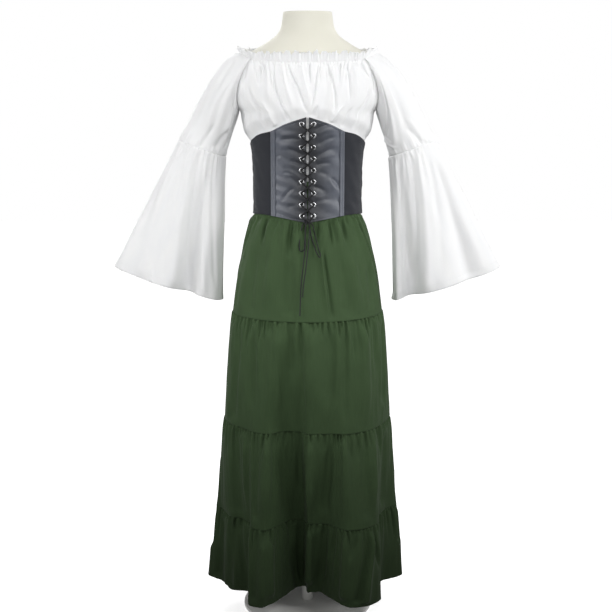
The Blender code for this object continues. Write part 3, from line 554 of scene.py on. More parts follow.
def smooth_route(points, spacing):
    """Points at an even spacing along a smooth curve through a given route."""
    points = np.array(points, float)
    steps = run_of(points)
    fine = np.linspace(0, steps[-1], FINE_POINTS)
    table = np.column_stack([steps, points])
    line = np.stack([through(table, axis, fine) for axis in (1, 2, 3)], axis=-1)
    run = run_of(line)
    return points_at(np.linspace(0, run[-1], max(3, round(run[-1] / spacing) + 1)), run, line)


# Camera

CAMERA_PLACE = (-0.0034, -2.70, 1.178)
CAMERA_DOWN = 9.75
FOCAL_PIXELS = 1199.0
IMAGE_SIDE = 612
SENSOR = 36.0


def camera():
    """The photograph's view: from in front at the height of the bust, and a little down."""
    lens = bpy.data.cameras.new("camera")
    lens.sensor_width = SENSOR
    lens.lens = FOCAL_PIXELS / IMAGE_SIDE * SENSOR
    made = bpy.data.objects.new("camera", lens)
    made.location = CAMERA_PLACE
    made.rotation_euler = (math.radians(90 - CAMERA_DOWN), 0, 0)
    bpy.context.scene.collection.objects.link(made)
    bpy.context.scene.camera = made


# Making a piece

MAP = "cloth"
MERGE_REACH = 1e-7
EDGE_ROUND = 0.3


def merge(mesh, faces_out=False):
    """Joins the points of a mesh that meet, and turns its faces out where asked."""
    bm = bmesh.new()
    bm.from_mesh(mesh)
    bmesh.ops.remove_doubles(bm, verts=bm.verts, dist=MERGE_REACH)
    if faces_out:
        bmesh.ops.recalc_face_normals(bm, faces=bm.faces)
    bm.to_mesh(mesh)
    bm.free()


def added(name, mesh, finish):
    """The object of a mesh in its finish, which rides on the part's root."""
    mesh.materials.append(finish)
    mesh.shade_smooth()
    made = bpy.data.objects.new(name, mesh)
    bpy.context.scene.collection.objects.link(made)
    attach(made, "root")
    return made


def surface(name, points, finish, nodes=(), closed=False, poles=False, tube_wall=False):
    """A surface through a grid of points, rows down and columns along. Its UV map is in metres:
    u runs along the longest row and v down the middle column. Poles are rows that close up. A
    tube wall's last row meets its first, a cloth's thickness away."""
    rows, columns = points.shape[:2]
    last = columns if closed else columns - 1
    count = rows if tube_wall else rows - 1
    row, column = np.meshgrid(np.arange(count), np.arange(last), indexing="ij")
    after, below = (column + 1) % columns, (row + 1) % rows
    corners = np.stack([row * columns + column, below * columns + column,
                        below * columns + after, row * columns + after], axis=-1)
    mesh = bpy.data.meshes.new(name)
    mesh.from_pydata(points.reshape(-1, 3).tolist(), [], corners.reshape(-1, 4).tolist())
    widest = np.argmax(np.linalg.norm(np.diff(points, axis=1), axis=2).sum(axis=1))
    u = run_of(np.concatenate([points[widest], points[widest][:1]]))
    v = np.concatenate([run_of(points[:, columns // 2]), [0]])
    places = np.stack([np.stack([u[column], u[column], u[column + 1], u[column + 1]], axis=-1),
                       np.stack([v[row], v[row + 1], v[row + 1], v[row]], axis=-1)], axis=-1)
    mesh.uv_layers.new(name=MAP).uv.foreach_set("vector", places.ravel().astype(np.float32))
    if poles:
        merge(mesh)
    made = added(name, mesh, finish)
    if nodes:
        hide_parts(*nodes)
    return made


def mirrored(points):
    """The mirror image of a closed piece, its columns turned so that its faces point out."""
    return points[:, ::-1] * MIRROR


def turned_in(points, wall, first=0, last=0, closed=False):
    """Folds a sheet's first and last rows to its inside: a rounded edge a wall thick, then that
    many rows back along the inside."""
    normal = outward(points, closed)
    inside = points - normal * wall
    parts = [points]
    if first:
        edge = points[0] - normal[0] * wall / 2 + (points[0] - points[1]) * EDGE_ROUND
        parts = [inside[first::-1], edge[None]] + parts
    if last:
        edge = points[-1] - normal[-1] * wall / 2 + (points[-1] - points[-2]) * EDGE_ROUND
        parts = parts + [edge[None], inside[:-last - 2:-1]]
    return np.concatenate(parts)


def raised(points, heights, closed=False):
    """A surface moved out along its normals."""
    return points + outward(points, closed) * heights[..., None]


def in_metres(rows):
    """The rows of a table of creases, whose half widths and heights are in millimetres."""
    return [(*row[:4], *(size / 1000 for size in row[4:7]), *row[7:]) for row in rows]


def creases(points, u, v, lines, closed=False):
    """The heights of soft creases. Each runs straight from one place to another in the surface's
    own coordinates u (degrees) and v, with a bell-shaped cross-section. A line is u and v where
    it starts, u and v where it ends, half width at its start and end, height, and the shares of
    its length over which it rises and fades."""
    ring = np.concatenate([points[:, -1:], points, points[:, :1]], axis=1)
    along = np.linalg.norm(np.gradient(ring, axis=1), axis=2)[:, 1:-1] if closed else (
        np.linalg.norm(np.gradient(points, axis=1), axis=2))
    degree = along / np.abs(np.median(np.diff(u, axis=1)) if closed else np.gradient(u, axis=1))
    total = np.zeros(u.shape)
    for u0, v0, u1, v1, first, last, height, rise, fade in lines:
        t = (v - v0) / (v1 - v0)
        across = wrap(u - (u0 + (u1 - u0) * t)) * degree
        half = first + (last - first) * np.clip(t, 0, 1)
        total += height * smooth(t / rise) * smooth((1 - t) / fade) * hump(across, half)
    return total


# Small gathers: how unevenly they are spaced, how much oftener short than long, how many degrees
# they drift, how far above the seam they start, how they widen on their way down (to so many
# times their width, and so much more a metre), and the shares over which they rise and fade
GATHER_STEPS = (0.55, 1.45)
GATHER_SHORTNESS = 2.2
GATHER_DRIFT = 0.9
GATHER_START = 0.003
GATHER_WIDENING = (1.2, 14)
GATHER_ENDS = (0.04, 0.95)


def gathers(rng, points, u, v, spacing, height, length, width, lean=0.0):
    """Lines for small gathers under a seam: they start at the seam at uneven steps and run down
    by uneven lengths, as cloth does that a thread has drawn up. lean draws them towards the
    middle."""
    row = run_of(points[0])
    count = int(row[-1] / spacing)
    step = rng.uniform(*GATHER_STEPS, count)
    place = np.cumsum(step) / step.sum() * row[-1] - spacing / 2
    place = place[(place > 0) & (place < row[-1])]
    middle = (u[0, 0] + u[0, -1]) / 2
    lines = []
    for at_u, at_v in zip(np.interp(place, row, u[0]), np.interp(place, row, v[0])):
        long = length[0] + (length[1] - length[0]) * rng.uniform() ** GATHER_SHORTNESS
        high = rng.uniform(*height)
        drift = rng.normal(0, GATHER_DRIFT) - (at_u - middle) * lean * long / length[1]
        thin = rng.uniform(*width)
        wide = thin * (GATHER_WIDENING[0] + GATHER_WIDENING[1] * long)
        lines.append((at_u, at_v + GATHER_START, at_u + drift, at_v - long, thin, wide, high,
                      *GATHER_ENDS))
    return lines


def ripples(rng, run, drop, size, across=(0.016, 0.050), down=(0.12, 0.40), count=7):
    """Shallow unevenness of hanging cloth: a sum of waves, narrow across and long down."""
    total = np.zeros(np.broadcast(run, drop).shape)
    for _ in range(count):
        turns = run / rng.uniform(*across) + drop / rng.uniform(*down) * rng.choice((-1, 1))
        total += np.sin(2 * math.pi * turns + rng.uniform(0, 2 * math.pi))
    return total * size / math.sqrt(count)


def held_off(rise, limit):
    """Relief whose troughs end softly at a limit, so that the cloth stays clear of the form."""
    return np.where(rise < 0, limit * np.tanh(rise / limit), rise)


def run_along(points):
    """The distance along the lowest row, and the distance down from the first row."""
    down = np.linalg.norm(np.diff(points, axis=0), axis=2)
    start = np.zeros((1, points.shape[1]))
    return run_of(points[-1])[None, :], np.concatenate([start, np.cumsum(down, axis=0)])


def row_shares(count, ease=0.5):
    """Shares from 0 to 1 that lie closer together near both ends."""
    t = np.linspace(0, 1, count)
    return (1 - ease) * t + ease * (1 - np.cos(math.pi * t)) / 2


# The rings of a small dome at a cord's end, as shares of its radius
DOME = (0.0, 0.5, 0.85)


def tube(name, line, radius, sides, finish, nodes=()):
    """A round cord along a line of points: rings across its way, closed by small domes."""
    line = np.array(line, float)
    way = unit(np.gradient(line, axis=0))
    across = unit(np.cross(way, CROSS_WAY))
    other = np.cross(way, across)
    dome = np.array(DOME)
    rise = np.sqrt(1 - dome ** 2) * radius
    centres = np.concatenate([line[:1] - way[:1] * rise[:, None], line,
                              line[-1:] + way[-1:] * rise[::-1, None]])
    sizes = np.concatenate([dome, np.ones(len(line)), dome[::-1]]) * radius
    hold = np.concatenate([[0] * len(dome), np.arange(len(line)), [len(line) - 1] * len(dome)])
    turn = 2 * math.pi * np.arange(sides) / sides
    ring = (across[hold][:, None] * np.cos(turn)[:, None]
            - other[hold][:, None] * np.sin(turn)[:, None])
    points = centres[:, None] + ring * sizes[:, None, None]
    return surface(name, points, finish, nodes, closed=True, poles=True)


STITCH_SIDES = 5
STITCH_RINGS = (0.0, 0.8, 1.0, 0.8, 0.0)
STITCH_RISE = 0.35


def stitches(name, rows, pitch, radius, finish, slot):
    """Sewing along rows of points on a surface, each with its normals: one small spindle a stitch,
    two thirds of the pitch long, half sunk in the cloth."""
    made = []
    share = np.linspace(-0.5, 0.5, len(STITCH_RINGS))[:, None, None]
    turn = 2 * math.pi * np.arange(STITCH_SIDES)[None, :, None] / STITCH_SIDES
    size = np.array(STITCH_RINGS)[:, None, None] * radius
    for line, normal in rows:
        run = run_of(line)
        middle = np.arange(pitch / 2, run[-1], pitch)
        start, at, end = (points_at(middle + shift, run, line)
                          for shift in (-pitch / 3, 0, pitch / 3))
        up = unit(points_at(middle, run, normal))
        way = end - start
        beside = unit(np.cross(way, up))
        made.append(at[:, None, None] + way[:, None, None] * share
                    + beside[:, None, None] * np.cos(turn) * size
                    + up[:, None, None] * (np.sin(turn) * size + radius * STITCH_RISE))
    points = np.concatenate(made)
    count, rings, sides = points.shape[:3]
    ring, column = np.meshgrid(np.arange(rings - 1), np.arange(sides), indexing="ij")
    after = (column + 1) % sides
    one = np.stack([ring * sides + column, ring * sides + after, (ring + 1) * sides + after,
                    (ring + 1) * sides + column], axis=-1).reshape(-1, 4)
    corners = (one[None] + (np.arange(count) * rings * sides)[:, None, None]).reshape(-1, 4)
    mesh = bpy.data.meshes.new(name)
    mesh.from_pydata(points.reshape(-1, 3).tolist(), [], corners.tolist())
    merge(mesh, faces_out=True)
    added(name, mesh, finish)


# Finishes

# What a wave texture's scale is divided by to give its pitch in metres
BAND = 0.314
MILLIMETRE = 0.001
WEAVE_RELIEF = 0.00008
# The distances from the middle between which the leather's colour goes from black, a painted shade
# beside the lacing, to slate, a painted sheen towards its sides
PAINTED_SHADE_TO_SHEEN = (0.018, 0.062)
STRAND_LEAN = 0.9


def linear(code):
    """An sRGB hex colour as linear red, green, blue and alpha."""
    share = np.array([int(code[i:i + 2], 16) for i in (1, 3, 5)]) / 255
    parts = np.where(share <= 0.04045, share / 12.92, ((share + 0.055) / 1.055) ** 2.4)
    return (*parts.tolist(), 1.0)


def node(tree, kind, inputs=None, **settings):
    """Adds a node: its settings, then a number, a colour or a link for each input."""
    made = tree.nodes.new(f"ShaderNode{kind}")
    for name, value in settings.items():
        setattr(made, name, value)
    for socket, value in (inputs or {}).items():
        if isinstance(value, bpy.types.NodeSocket):
            tree.links.new(value, made.inputs[socket])
        else:
            made.inputs[socket].default_value = value
    return made.outputs


def finish_of(name, **sockets):
    """A new material, with values set straight on its shader's sockets."""
    made = bpy.data.materials.new(name)
    made.use_nodes = True
    shader = made.node_tree.nodes["Principled BSDF"]
    for socket, value in sockets.items():
        shader.inputs[socket.replace("_", " ")].default_value = value
    return made, made.node_tree, shader


def own_map(tree):
    """The piece's own UV map, in metres."""
    return node(tree, "UVMap", uv_map=MAP)["UV"]


def own_place(tree):
    """The place on the piece, in metres."""
    return node(tree, "TexCoord")["Object"]


def mapped(tree, across, down):
    """The piece's own UV map in steps of so many metres across and down."""
    return node(tree, "Mapping", {"Vector": own_map(tree),
                                  "Scale": (1 / across, 1 / down, 1)})["Vector"]


def noise(tree, place, scale=1.0, detail=2.0, roughness=0.5):
    """A cloudy pattern from 0 to 1."""
    return node(tree, "TexNoise", {"Vector": place, "Scale": scale, "Detail": detail,
                                   "Roughness": roughness})["Fac"]


def bands(tree, place, pitch, way="X", distortion=0.0):
    """Soft bands from 0 to 1, a pitch apart."""
    return node(tree, "TexWave", {"Vector": place, "Scale": BAND / pitch,
                                  "Distortion": distortion}, bands_direction=way)["Fac"]


def blended(tree, share, first, second):
    """A colour between two, each a colour or a link, by a share."""
    return node(tree, "Mix", {0: share, 6: first, 7: second}, data_type="RGBA")[2]


def mixed(tree, share, first, second):
    """A colour between two hex colours, by a share."""
    return blended(tree, share, linear(first), linear(second))


def ranged(tree, value, low, high, start=0.0, end=1.0):
    """A value brought from the range low to high to the range start to end."""
    return node(tree, "MapRange", {"Value": value, "From Min": low, "From Max": high,
                                   "To Min": start, "To Max": end})["Result"]


def upper_of(tree, first, second):
    """The higher of two patterns."""
    return node(tree, "Math", {0: first, 1: second}, operation="MAXIMUM")[0]


def shown(tree, shader, colour, relief=None, roughness=None):
    """Links a finish's colour, relief and roughness to its shader."""
    for socket, value in (("Base Color", colour), ("Normal", relief), ("Roughness", roughness)):
        if value is not None:
            tree.links.new(value, shader.inputs[socket])


def bumped(tree, height, distance, normal=None, strength=1.0):
    """A relief of so many metres, over the relief of another where one is given."""
    inputs = {"Height": height, "Distance": distance, "Strength": strength}
    if normal is not None:
        inputs["Normal"] = normal
    return node(tree, "Bump", inputs)["Normal"]


def washed_weave(tree, across, down, height, pitch):
    """The relief of washed cloth: soft crinkles of so many metres across and down, and a plain
    weave over them: threads both ways, each a band as wide as the pitch."""
    crinkle = noise(tree, mapped(tree, across, down), detail=3.0, roughness=0.6)
    relief = bumped(tree, crinkle, height, strength=0.5)
    place = own_map(tree)
    weave = upper_of(tree, bands(tree, place, pitch, "X"), bands(tree, place, pitch, "Y"))
    return bumped(tree, weave, WEAVE_RELIEF, relief, 0.5)


def washed_cotton_gauze():
    """Cotton gauze, plain woven and washed: matt, soft and slightly crinkled, a clean white with
    a fine nap. Its threads are 0.35 mm apart, and are drawn three times as wide so that they
    show."""
    made, tree, shader = finish_of("washed cotton gauze", Roughness=0.88, Sheen_Weight=0.25,
                                   Sheen_Roughness=0.5, Specular_IOR_Level=0.25)
    cloudy = noise(tree, mapped(tree, 0.030, 0.090))
    shown(tree, shader, mixed(tree, cloudy, "#F0F1F3", "#F8F8F7"),
          washed_weave(tree, 0.0032, 0.022, 0.0007, 1.05 * MILLIMETRE))
    return made


def rayon_challis():
    """Rayon challis, plain woven and piece dyed: matt, with a faint nap, and slubs that give fine
    upright streaks. The green is painted darker towards the hem: painted shade for the light that
    falls off lower down. Threads of 0.4 mm are drawn 1.2 mm wide."""
    made, tree, shader = finish_of("forest green rayon challis", Roughness=0.80,
                                   Sheen_Weight=0.04, Sheen_Roughness=0.4,
                                   Specular_IOR_Level=0.15)
    streak = noise(tree, mapped(tree, 0.0024, 0.060), detail=3.0, roughness=0.65)
    cloudy = noise(tree, mapped(tree, 0.050, 0.050))
    scaled = node(tree, "Math", {0: cloudy, 1: 0.4}, operation="MULTIPLY")[0]
    share = node(tree, "Math", {0: streak, 1: 0.6, 2: scaled}, operation="MULTIPLY_ADD")[0]
    # Painted shade: by height, the green goes from darker colours at the hem to lighter ones at
    # the first seam
    height = node(tree, "SeparateXYZ", {0: own_place(tree)})["Z"]
    green = blended(tree, ranged(tree, height, HEM_Z, SEAM_1_Z),
                    mixed(tree, share, "#192414", "#293820"),
                    mixed(tree, share, "#384A30", "#4A6040"))
    shown(tree, shader, green, washed_weave(tree, 0.0040, 0.030, 0.0008, 1.2 * MILLIMETRE))
    return made


def creased_faux_leather():
    """Faux leather, a coated knit pressed with a pebble grain about 1.3 mm across: black with a
    blue cast and a soft sheen beside the lacing. Its colour is painted black there as painted
    shade, and lighter, to slate, away from it as a painted sheen."""
    made, tree, shader = finish_of("creased faux leather", Specular_IOR_Level=0.70,
                                   Coat_Weight=0.35, Coat_Roughness=0.45)
    place = own_place(tree)
    grain = node(tree, "TexVoronoi", {"Vector": place, "Scale": 1 / (1.3 * MILLIMETRE)},
                 feature="DISTANCE_TO_EDGE")["Distance"]
    cloudy = noise(tree, place, 70.0, 3.0)
    aside = node(tree, "Math", {0: node(tree, "SeparateXYZ", {0: place})["X"]},
                 operation="ABSOLUTE")[0]
    # Painted shade and sheen: black near the lacing, lighter slate towards the sides, by distance
    # from the middle
    slate = blended(tree, ranged(tree, aside, *PAINTED_SHADE_TO_SHEEN),
                    mixed(tree, cloudy, "#1A1C22", "#2D3038"),
                    mixed(tree, cloudy, "#434852", "#616672"))
    relief = bumped(tree, noise(tree, place, 160.0), 0.0009, strength=0.35)
    shown(tree, shader, slate, bumped(tree, grain, 0.00012, relief, 0.5),
          ranged(tree, cloudy, 0.3, 0.7, 0.44, 0.58))
    return made


def ribbed_elastic():
    """Wide woven elastic: polyester over rubber, matt charcoal with upright ribs 2.4 mm apart."""
    made, tree, shader = finish_of("ribbed black elastic", Roughness=0.78, Sheen_Weight=0.10,
                                   Specular_IOR_Level=0.3)
    place = own_map(tree)
    rib = bands(tree, place, 2.4 * MILLIMETRE, distortion=0.2)
    pick = bands(tree, place, 1.2 * MILLIMETRE, "Y")
    relief = bumped(tree, rib, 0.0004, strength=0.6)
    # Painted shade: the colour follows the ribs, darker in the grooves between them
    shown(tree, shader, mixed(tree, rib, "#1E1F24", "#32353C"),
          bumped(tree, pick, 0.0001, relief, 0.4))
    return made


def polished_nickel():
    """Nickel-plated brass, stamped and tumbled: bright, with fine scuffs."""
    made, tree, shader = finish_of("bright nickel", Metallic=1.0)
    scuff = noise(tree, own_place(tree), 900.0, 3.0)
    shown(tree, shader, mixed(tree, scuff, "#C4C6C9", "#DCDDDF"),
          roughness=ranged(tree, scuff, 0.0, 1.0, 0.14, 0.34))
    return made


def braided_cord():
    """Round braided polyester cord: black, a little shiny, its strands crossing 1.6 mm apart."""
    made, tree, shader = finish_of("black braided cord", Roughness=0.6)
    place = own_map(tree)
    strands = []
    for lean in (STRAND_LEAN, -STRAND_LEAN):
        turned = node(tree, "Mapping", {"Vector": place, "Rotation": (0, 0, lean)})["Vector"]
        strands.append(bands(tree, turned, 1.6 * MILLIMETRE))
    braid = upper_of(tree, *strands)
    # Painted shade: the colour follows the strands, darker in the hollows between them
    shown(tree, shader, mixed(tree, braid, "#060607", "#141518"),
          bumped(tree, braid, 0.0003, strength=0.7))
    return made


def cream_jersey():
    """Cotton jersey stretched over the form: cream, matt, with fine upright wales. Wales of
    0.6 mm are drawn 1.4 mm apart."""
    made, tree, shader = finish_of("cream cotton jersey", Roughness=0.8, Sheen_Weight=0.2,
                                   Sheen_Roughness=0.5, Specular_IOR_Level=0.3)
    wale = bands(tree, own_map(tree), 1.4 * MILLIMETRE)
    cloudy = noise(tree, own_place(tree), 18.0)
    shown(tree, shader, mixed(tree, cloudy, "#E3E1D3", "#EBE9DD"),
          bumped(tree, wale, 0.0001, strength=0.4))
    return made


def white_powder_coat():
    """Powder-coated steel: white, half matt, with a fine orange peel 1.5 mm across."""
    made, tree, shader = finish_of("white powder coat", Roughness=0.45)
    peel = noise(tree, own_place(tree), 1 / (1.5 * MILLIMETRE), 1.0)
    # Painted shade: the colour follows the peel, a little darker in its dimples
    shown(tree, shader, mixed(tree, peel, "#E4E4E0", "#EFEFEC"),
          bumped(tree, peel, 0.0001, strength=0.4))
    return made


def spun_thread(name, dark, light):
    """Spun polyester sewing thread: a soft twist that catches a little light."""
    made, tree, shader = finish_of(name, Roughness=0.6, Sheen_Weight=0.1)
    shown(tree, shader, mixed(tree, noise(tree, own_place(tree), 1500.0), dark, light))
    return made


# The skirt

TIER_COLUMNS = 421
TIER_ROWS = 48
SEAM_LAP = 0.0009
SEAM_TUCK = 0.0022
SEAM_TUCK_DROP = 0.0030
SEAM_PUFF = 0.0009
SIDE_SEAM_BLEND = 0.012
CREASE_DEPTH = 2.1
TROUGH_LIMIT = 0.0085
SEAM_EASE = 0.026
WAIST_PUFF = 0.0032
SIDE_SEAM_STEP = 0.0008
FOLD_RISE = 0.0003
HEM_ROWS = 5
SEAM_PUFF_DROP = 0.005
SEAM_PUFF_HALF = 0.004
SEAM_FLATTENS = 0.75
FINE_RIPPLE = 0.0005
BROAD_RIPPLE = 0.0007
BROAD_RIPPLE_WIDTH = (0.05, 0.12)
# How deep a trough may be at the cincher's edge
EDGE_TROUGH = 0.0014
# Gathers: spacing, heights, lengths and half widths
TIER_GATHERS = (0.0098, (-0.0060, -0.0020), (0.016, 0.105), (0.0018, 0.0030))
WAIST_GATHERS = (0.011, (-0.0036, -0.0012), (0.020, 0.105), (0.0017, 0.0030))
# The first tier under the cincher: its hidden rows, and its relief by the drop from the edge
WAIST_ROWS = 5
WAIST_CREASE_TOP = 0.925
WAIST_RIPPLE = 0.0006
WAIST_START = 0.009
WAIST_PUFF_START = 0.006
WAIST_PUFF_END = 0.07
WAIST_TROUGH = 0.0058
WAIST_TROUGH_DROP = 0.030
WAIST_STEP_DROP = 0.016

# Main creases of the skirt: angle and height where each starts and ends, half width at its start
# and end and height in millimetres (a trough if negative), and the shares over which it rises
# and fades
TIER_1_CREASES = (
    (-46.8, 0.925, -45.2, 0.86, 2.2, 4.5, -5, 0.05, 0.7),
    (-40, 0.925, -37, 0.83, 6, 11, 3, 0.05, 0.7),
    (-16.5, 0.925, -16, 0.835, 2.2, 7, -6.6, 0.05, 0.7),
    (-23, 0.925, -20, 0.8, 6, 14, 3.2, 0.05, 0.7),
    (-10, 0.925, -8.5, 0.82, 5.5, 12, 3, 0.05, 0.7),
    (10.5, 0.925, 7.8, 0.865, 2.2, 5, -5.2, 0.05, 0.7),
    (22.8, 0.925, 21, 0.85, 2.2, 5.5, -4.5, 0.05, 0.7),
    (16.5, 0.925, 15, 0.83, 5.5, 11, 2.8, 0.05, 0.7),
    (30, 0.925, 29, 0.83, 5.5, 12, 3, 0.05, 0.7),
    (36.8, 0.925, 37, 0.862, 2.2, 5.5, -6.2, 0.05, 0.7),
    (59, 0.925, 84, 0.77, 2.6, 6.5, -6, 0.05, 0.6),
    (53, 0.925, 72, 0.76, 6, 13, 3.6, 0.05, 0.6),
    (10.8, 0.87, 16, 0.7, 3.5, 6.5, 3, 0.25, 0.42),
    (13.2, 0.865, 18.6, 0.7, 3.5, 6.5, -3, 0.25, 0.15),
    (-70.8, 0.92, -79.2, 0.83, 5, 10, -3.5, 0.05, 0.7),
    (-32.2, 0.915, -28, 0.715, 11, 20, 4.2, 0.2, 0.42),
    (-7.2, 0.87, -4.8, 0.71, 10, 16, 3.5, 0.3, 0.42),
    (-15, 0.85, -12.5, 0.71, 10, 15, -3.6, 0.3, 0.15),
    (39.8, 0.86, 42.5, 0.708, 11, 17, 3.8, 0.3, 0.42),
    (29, 0.85, 29.5, 0.708, 9, 14, -3, 0.3, 0.2),
    (-52, 0.86, -50, 0.708, 11, 18, -3.4, 0.3, 0.2),
    (62, 0.83, 60, 0.708, 10, 16, -3, 0.3, 0.2),
)
TIER_2_CREASES = (
    (-12.6, 0.712, -13.4, 0.56, 4, 11, -4.6, 0.05, 0.55),
    (16.8, 0.7, 16.5, 0.505, 8, 15, -4.8, 0.25, 0.35),
    (29.1, 0.7, 27.5, 0.47, 6, 11, -3, 0.2, 0.2),
    (75, 0.69, 70.5, 0.49, 8, 15, -6, 0.15, 0.2),
    (-44.1, 0.69, -42.5, 0.49, 7, 12, -4.2, 0.25, 0.3),
    (-60, 0.69, -67, 0.46, 9, 16, -5, 0.2, 0.1),
    (-23, 0.7, -24.6, 0.461, 12, 20, 5.6, 0.2, 0.42),
    (2.6, 0.7, 1.9, 0.49, 11, 18, 4.2, 0.2, 0.42),
    (46.1, 0.7, 44.6, 0.462, 12, 20, 5.4, 0.2, 0.42),
    (-5.6, 0.708, -3.4, 0.6, 4.5, 8, -3, 0.05, 0.6),
    (37.8, 0.708, 35.6, 0.6, 4.5, 8, -3, 0.05, 0.6),
    (58.5, 0.708, 60, 0.56, 5.5, 10, -3.6, 0.05, 0.5),
)
TIER_3_CREASES = (
    (-25.6, 0.46, -25.6, 0.415, 4, 7, -3.6, 0.05, 0.6),
    (-16, 0.46, -18, 0.35, 5, 10, -4.6, 0.05, 0.6),
    (-7.9, 0.46, -8.6, 0.29, 4.5, 10, -4.6, 0.05, 0.4),
    (12.9, 0.46, 13.2, 0.405, 4.5, 8, -4, 0.05, 0.6),
    (29.8, 0.46, 29.9, 0.385, 4, 8, -3.6, 0.05, 0.6),
    (36.4, 0.46, 35.6, 0.385, 4, 8, -3.6, 0.05, 0.6),
    (43.4, 0.46, 42.2, 0.405, 4, 7, -3.6, 0.05, 0.6),
    (-60.2, 0.45, -64.5, 0.243, 10, 16, -5, 0.2, 0.1),
    (-49.1, 0.45, -50.5, 0.25, 8, 12, 4, 0.2, 0.42),
    (2, 0.45, 2.5, 0.25, 10, 14, 5.2, 0.2, 0.42),
    (-29, 0.45, -29, 0.249, 12, 18, 4.6, 0.2, 0.42),
    (-36.5, 0.45, -37.5, 0.249, 9, 13, -3.6, 0.2, 0.15),
    (26.9, 0.45, 26.4, 0.251, 9, 13, 4.2, 0.2, 0.42),
    (41, 0.43, 41.5, 0.251, 9, 14, -3.4, 0.2, 0.15),
    (49.5, 0.45, 48.5, 0.251, 9, 14, 4.2, 0.2, 0.42),
    (18, 0.44, 17, 0.26, 6, 10, -3.4, 0.2, 0.2),
    (72, 0.44, 76, 0.245, 9, 15, -5, 0.2, 0.15),
)
TIER_4_CREASES = (
    (42.5, 0.236, 32.8, 0.07, 4.5, 9, -8, 0.2, 0.05),
    (44.8, 0.232, 36.5, 0.066, 7, 11, 5, 0.2, 0.05),
    (45.5, 0.215, 52, 0.13, 4, 8, -5.2, 0.15, 0.4),
    (33.9, 0.24, 27.2, 0.165, 4.5, 8, -4, 0.1, 0.6),
    (-30.5, 0.24, -30, 0.195, 4, 8, -3.6, 0.05, 0.6),
    (-24.9, 0.24, -24.9, 0.19, 4, 7, -3.6, 0.05, 0.6),
    (22, 0.24, 22.5, 0.15, 5.5, 9, -4, 0.05, 0.5),
    (17.6, 0.235, 17.6, 0.09, 7, 11, -4, 0.15, 0.2),
    (-62.5, 0.23, -69.5, 0.062, 9, 15, -5.4, 0.15, 0.05),
    (-81.6, 0.225, -86, 0.062, 8, 13, -4, 0.15, 0.1),
    (-9.6, 0.235, -10.6, 0.075, 8, 13, -4.4, 0.15, 0.15),
    (2.5, 0.235, 1.2, 0.075, 10, 14, 4.8, 0.15, 0.15),
    (-27.1, 0.225, -27.2, 0.07, 9, 14, 4, 0.2, 0.15),
    (-34.5, 0.235, -36.5, 0.07, 7, 11, -4, 0.15, 0.1),
    (26.1, 0.235, 25.5, 0.07, 8, 12, 3.6, 0.2, 0.1),
    (58, 0.235, 60, 0.062, 8, 13, -4.2, 0.15, 0.1),
)
# The soft creases of each hidden half, as many and as high as on the front
BACK_CREASES = 13
BACK_CREASE_HEIGHT = (0.0028, 0.0050)
BACK_CREASE_SHIFT = 0.3
BACK_CREASE_START = 0.004
BACK_CREASE_SHORT = (0.45, 0.8)
BACK_CREASE_HALF = (0.005, 0.009)
BACK_CREASE_WIDENING = (1.5, 2.2)
BACK_CREASE_LEAN = 3
BACK_CREASE_RISE = (0.05, 0.3)
BACK_CREASE_FADE = (0.1, 0.5)


def hidden_creases(rng, start, end, top, bottom):
    """Soft creases for a half that the photograph doesn't show, as many and as uneven as on the
    front: ridges and troughs in turn, every third one shorter."""
    lines = []
    step = (end - start) / BACK_CREASES
    for number in range(BACK_CREASES):
        shift = rng.uniform(-BACK_CREASE_SHIFT, BACK_CREASE_SHIFT)
        at = start + step * (number + 0.5) + shift * step
        low = top - (top - bottom) * (1.0 if number % 3 else rng.uniform(*BACK_CREASE_SHORT))
        first = rng.uniform(*BACK_CREASE_HALF)
        high = rng.uniform(*BACK_CREASE_HEIGHT) * (1 if number % 2 else -1)
        foot = at + rng.uniform(-BACK_CREASE_LEAN, BACK_CREASE_LEAN)
        last = first * rng.uniform(*BACK_CREASE_WIDENING)
        lines.append((at, top + BACK_CREASE_START, foot, low, first, last, high,
                      rng.uniform(*BACK_CREASE_RISE), rng.uniform(*BACK_CREASE_FADE)))
    return lines


def halves(width):
    """The front and back of a tube, lapped a little at their side seams."""
    lap = math.degrees(SEAM_LAP / width)
    return (("front", -90 - lap, 90 + lap), ("back", 90 - lap, 270 + lap))


def near_sides(points):
    """1 over most of a half, and 0 at its side seams."""
    run = run_of(points[-1])
    return smooth(np.minimum(run, run[-1] - run) / SIDE_SEAM_BLEND)[None, :]


def side_step(points):
    """How far a back half's side edges go in, so that they lie under the front's."""
    return SIDE_SEAM_STEP * (1 - near_sides(points))


def skirt_piece(name, half, points, angle, lines, rng, finish, hem):
    """A gathered tier's half: its creases, gathers and ripples, tucked in at its seams."""
    run, drop = run_along(points)
    rise = creases(points, angle, points[..., 2], lines) * CREASE_DEPTH
    rise = rise + ripples(rng, run, drop, FINE_RIPPLE)
    rise = rise + ripples(rng, run, drop, BROAD_RIPPLE, BROAD_RIPPLE_WIDTH)
    rise = held_off(rise, TROUGH_LIMIT) * near_sides(points) * smooth(drop / SEAM_TUCK_DROP)
    rise = seam_relief(rise, drop, hem)
    if half == "back":
        rise = rise - side_step(points)
    points = turned_in(raised(points, rise), CLOTH, 1, HEM_ROWS if hem else 1)
    made = surface(f"{name}_{half}_cloth", points, finish,
                   [f"{name}_{half}"])


def flat_below(rise, drop):
    """A tier's relief eased flat towards its lower seam."""
    return rise * (1 - SEAM_FLATTENS
                   + SEAM_FLATTENS * smooth((drop[-1:] - drop) / SEAM_EASE))


def proud_fold(drop):
    """The fold at a tier's lower edge, which stands proud of the piece below."""
    return FOLD_RISE * hump(drop[-1:] - drop, SEAM_TUCK_DROP)


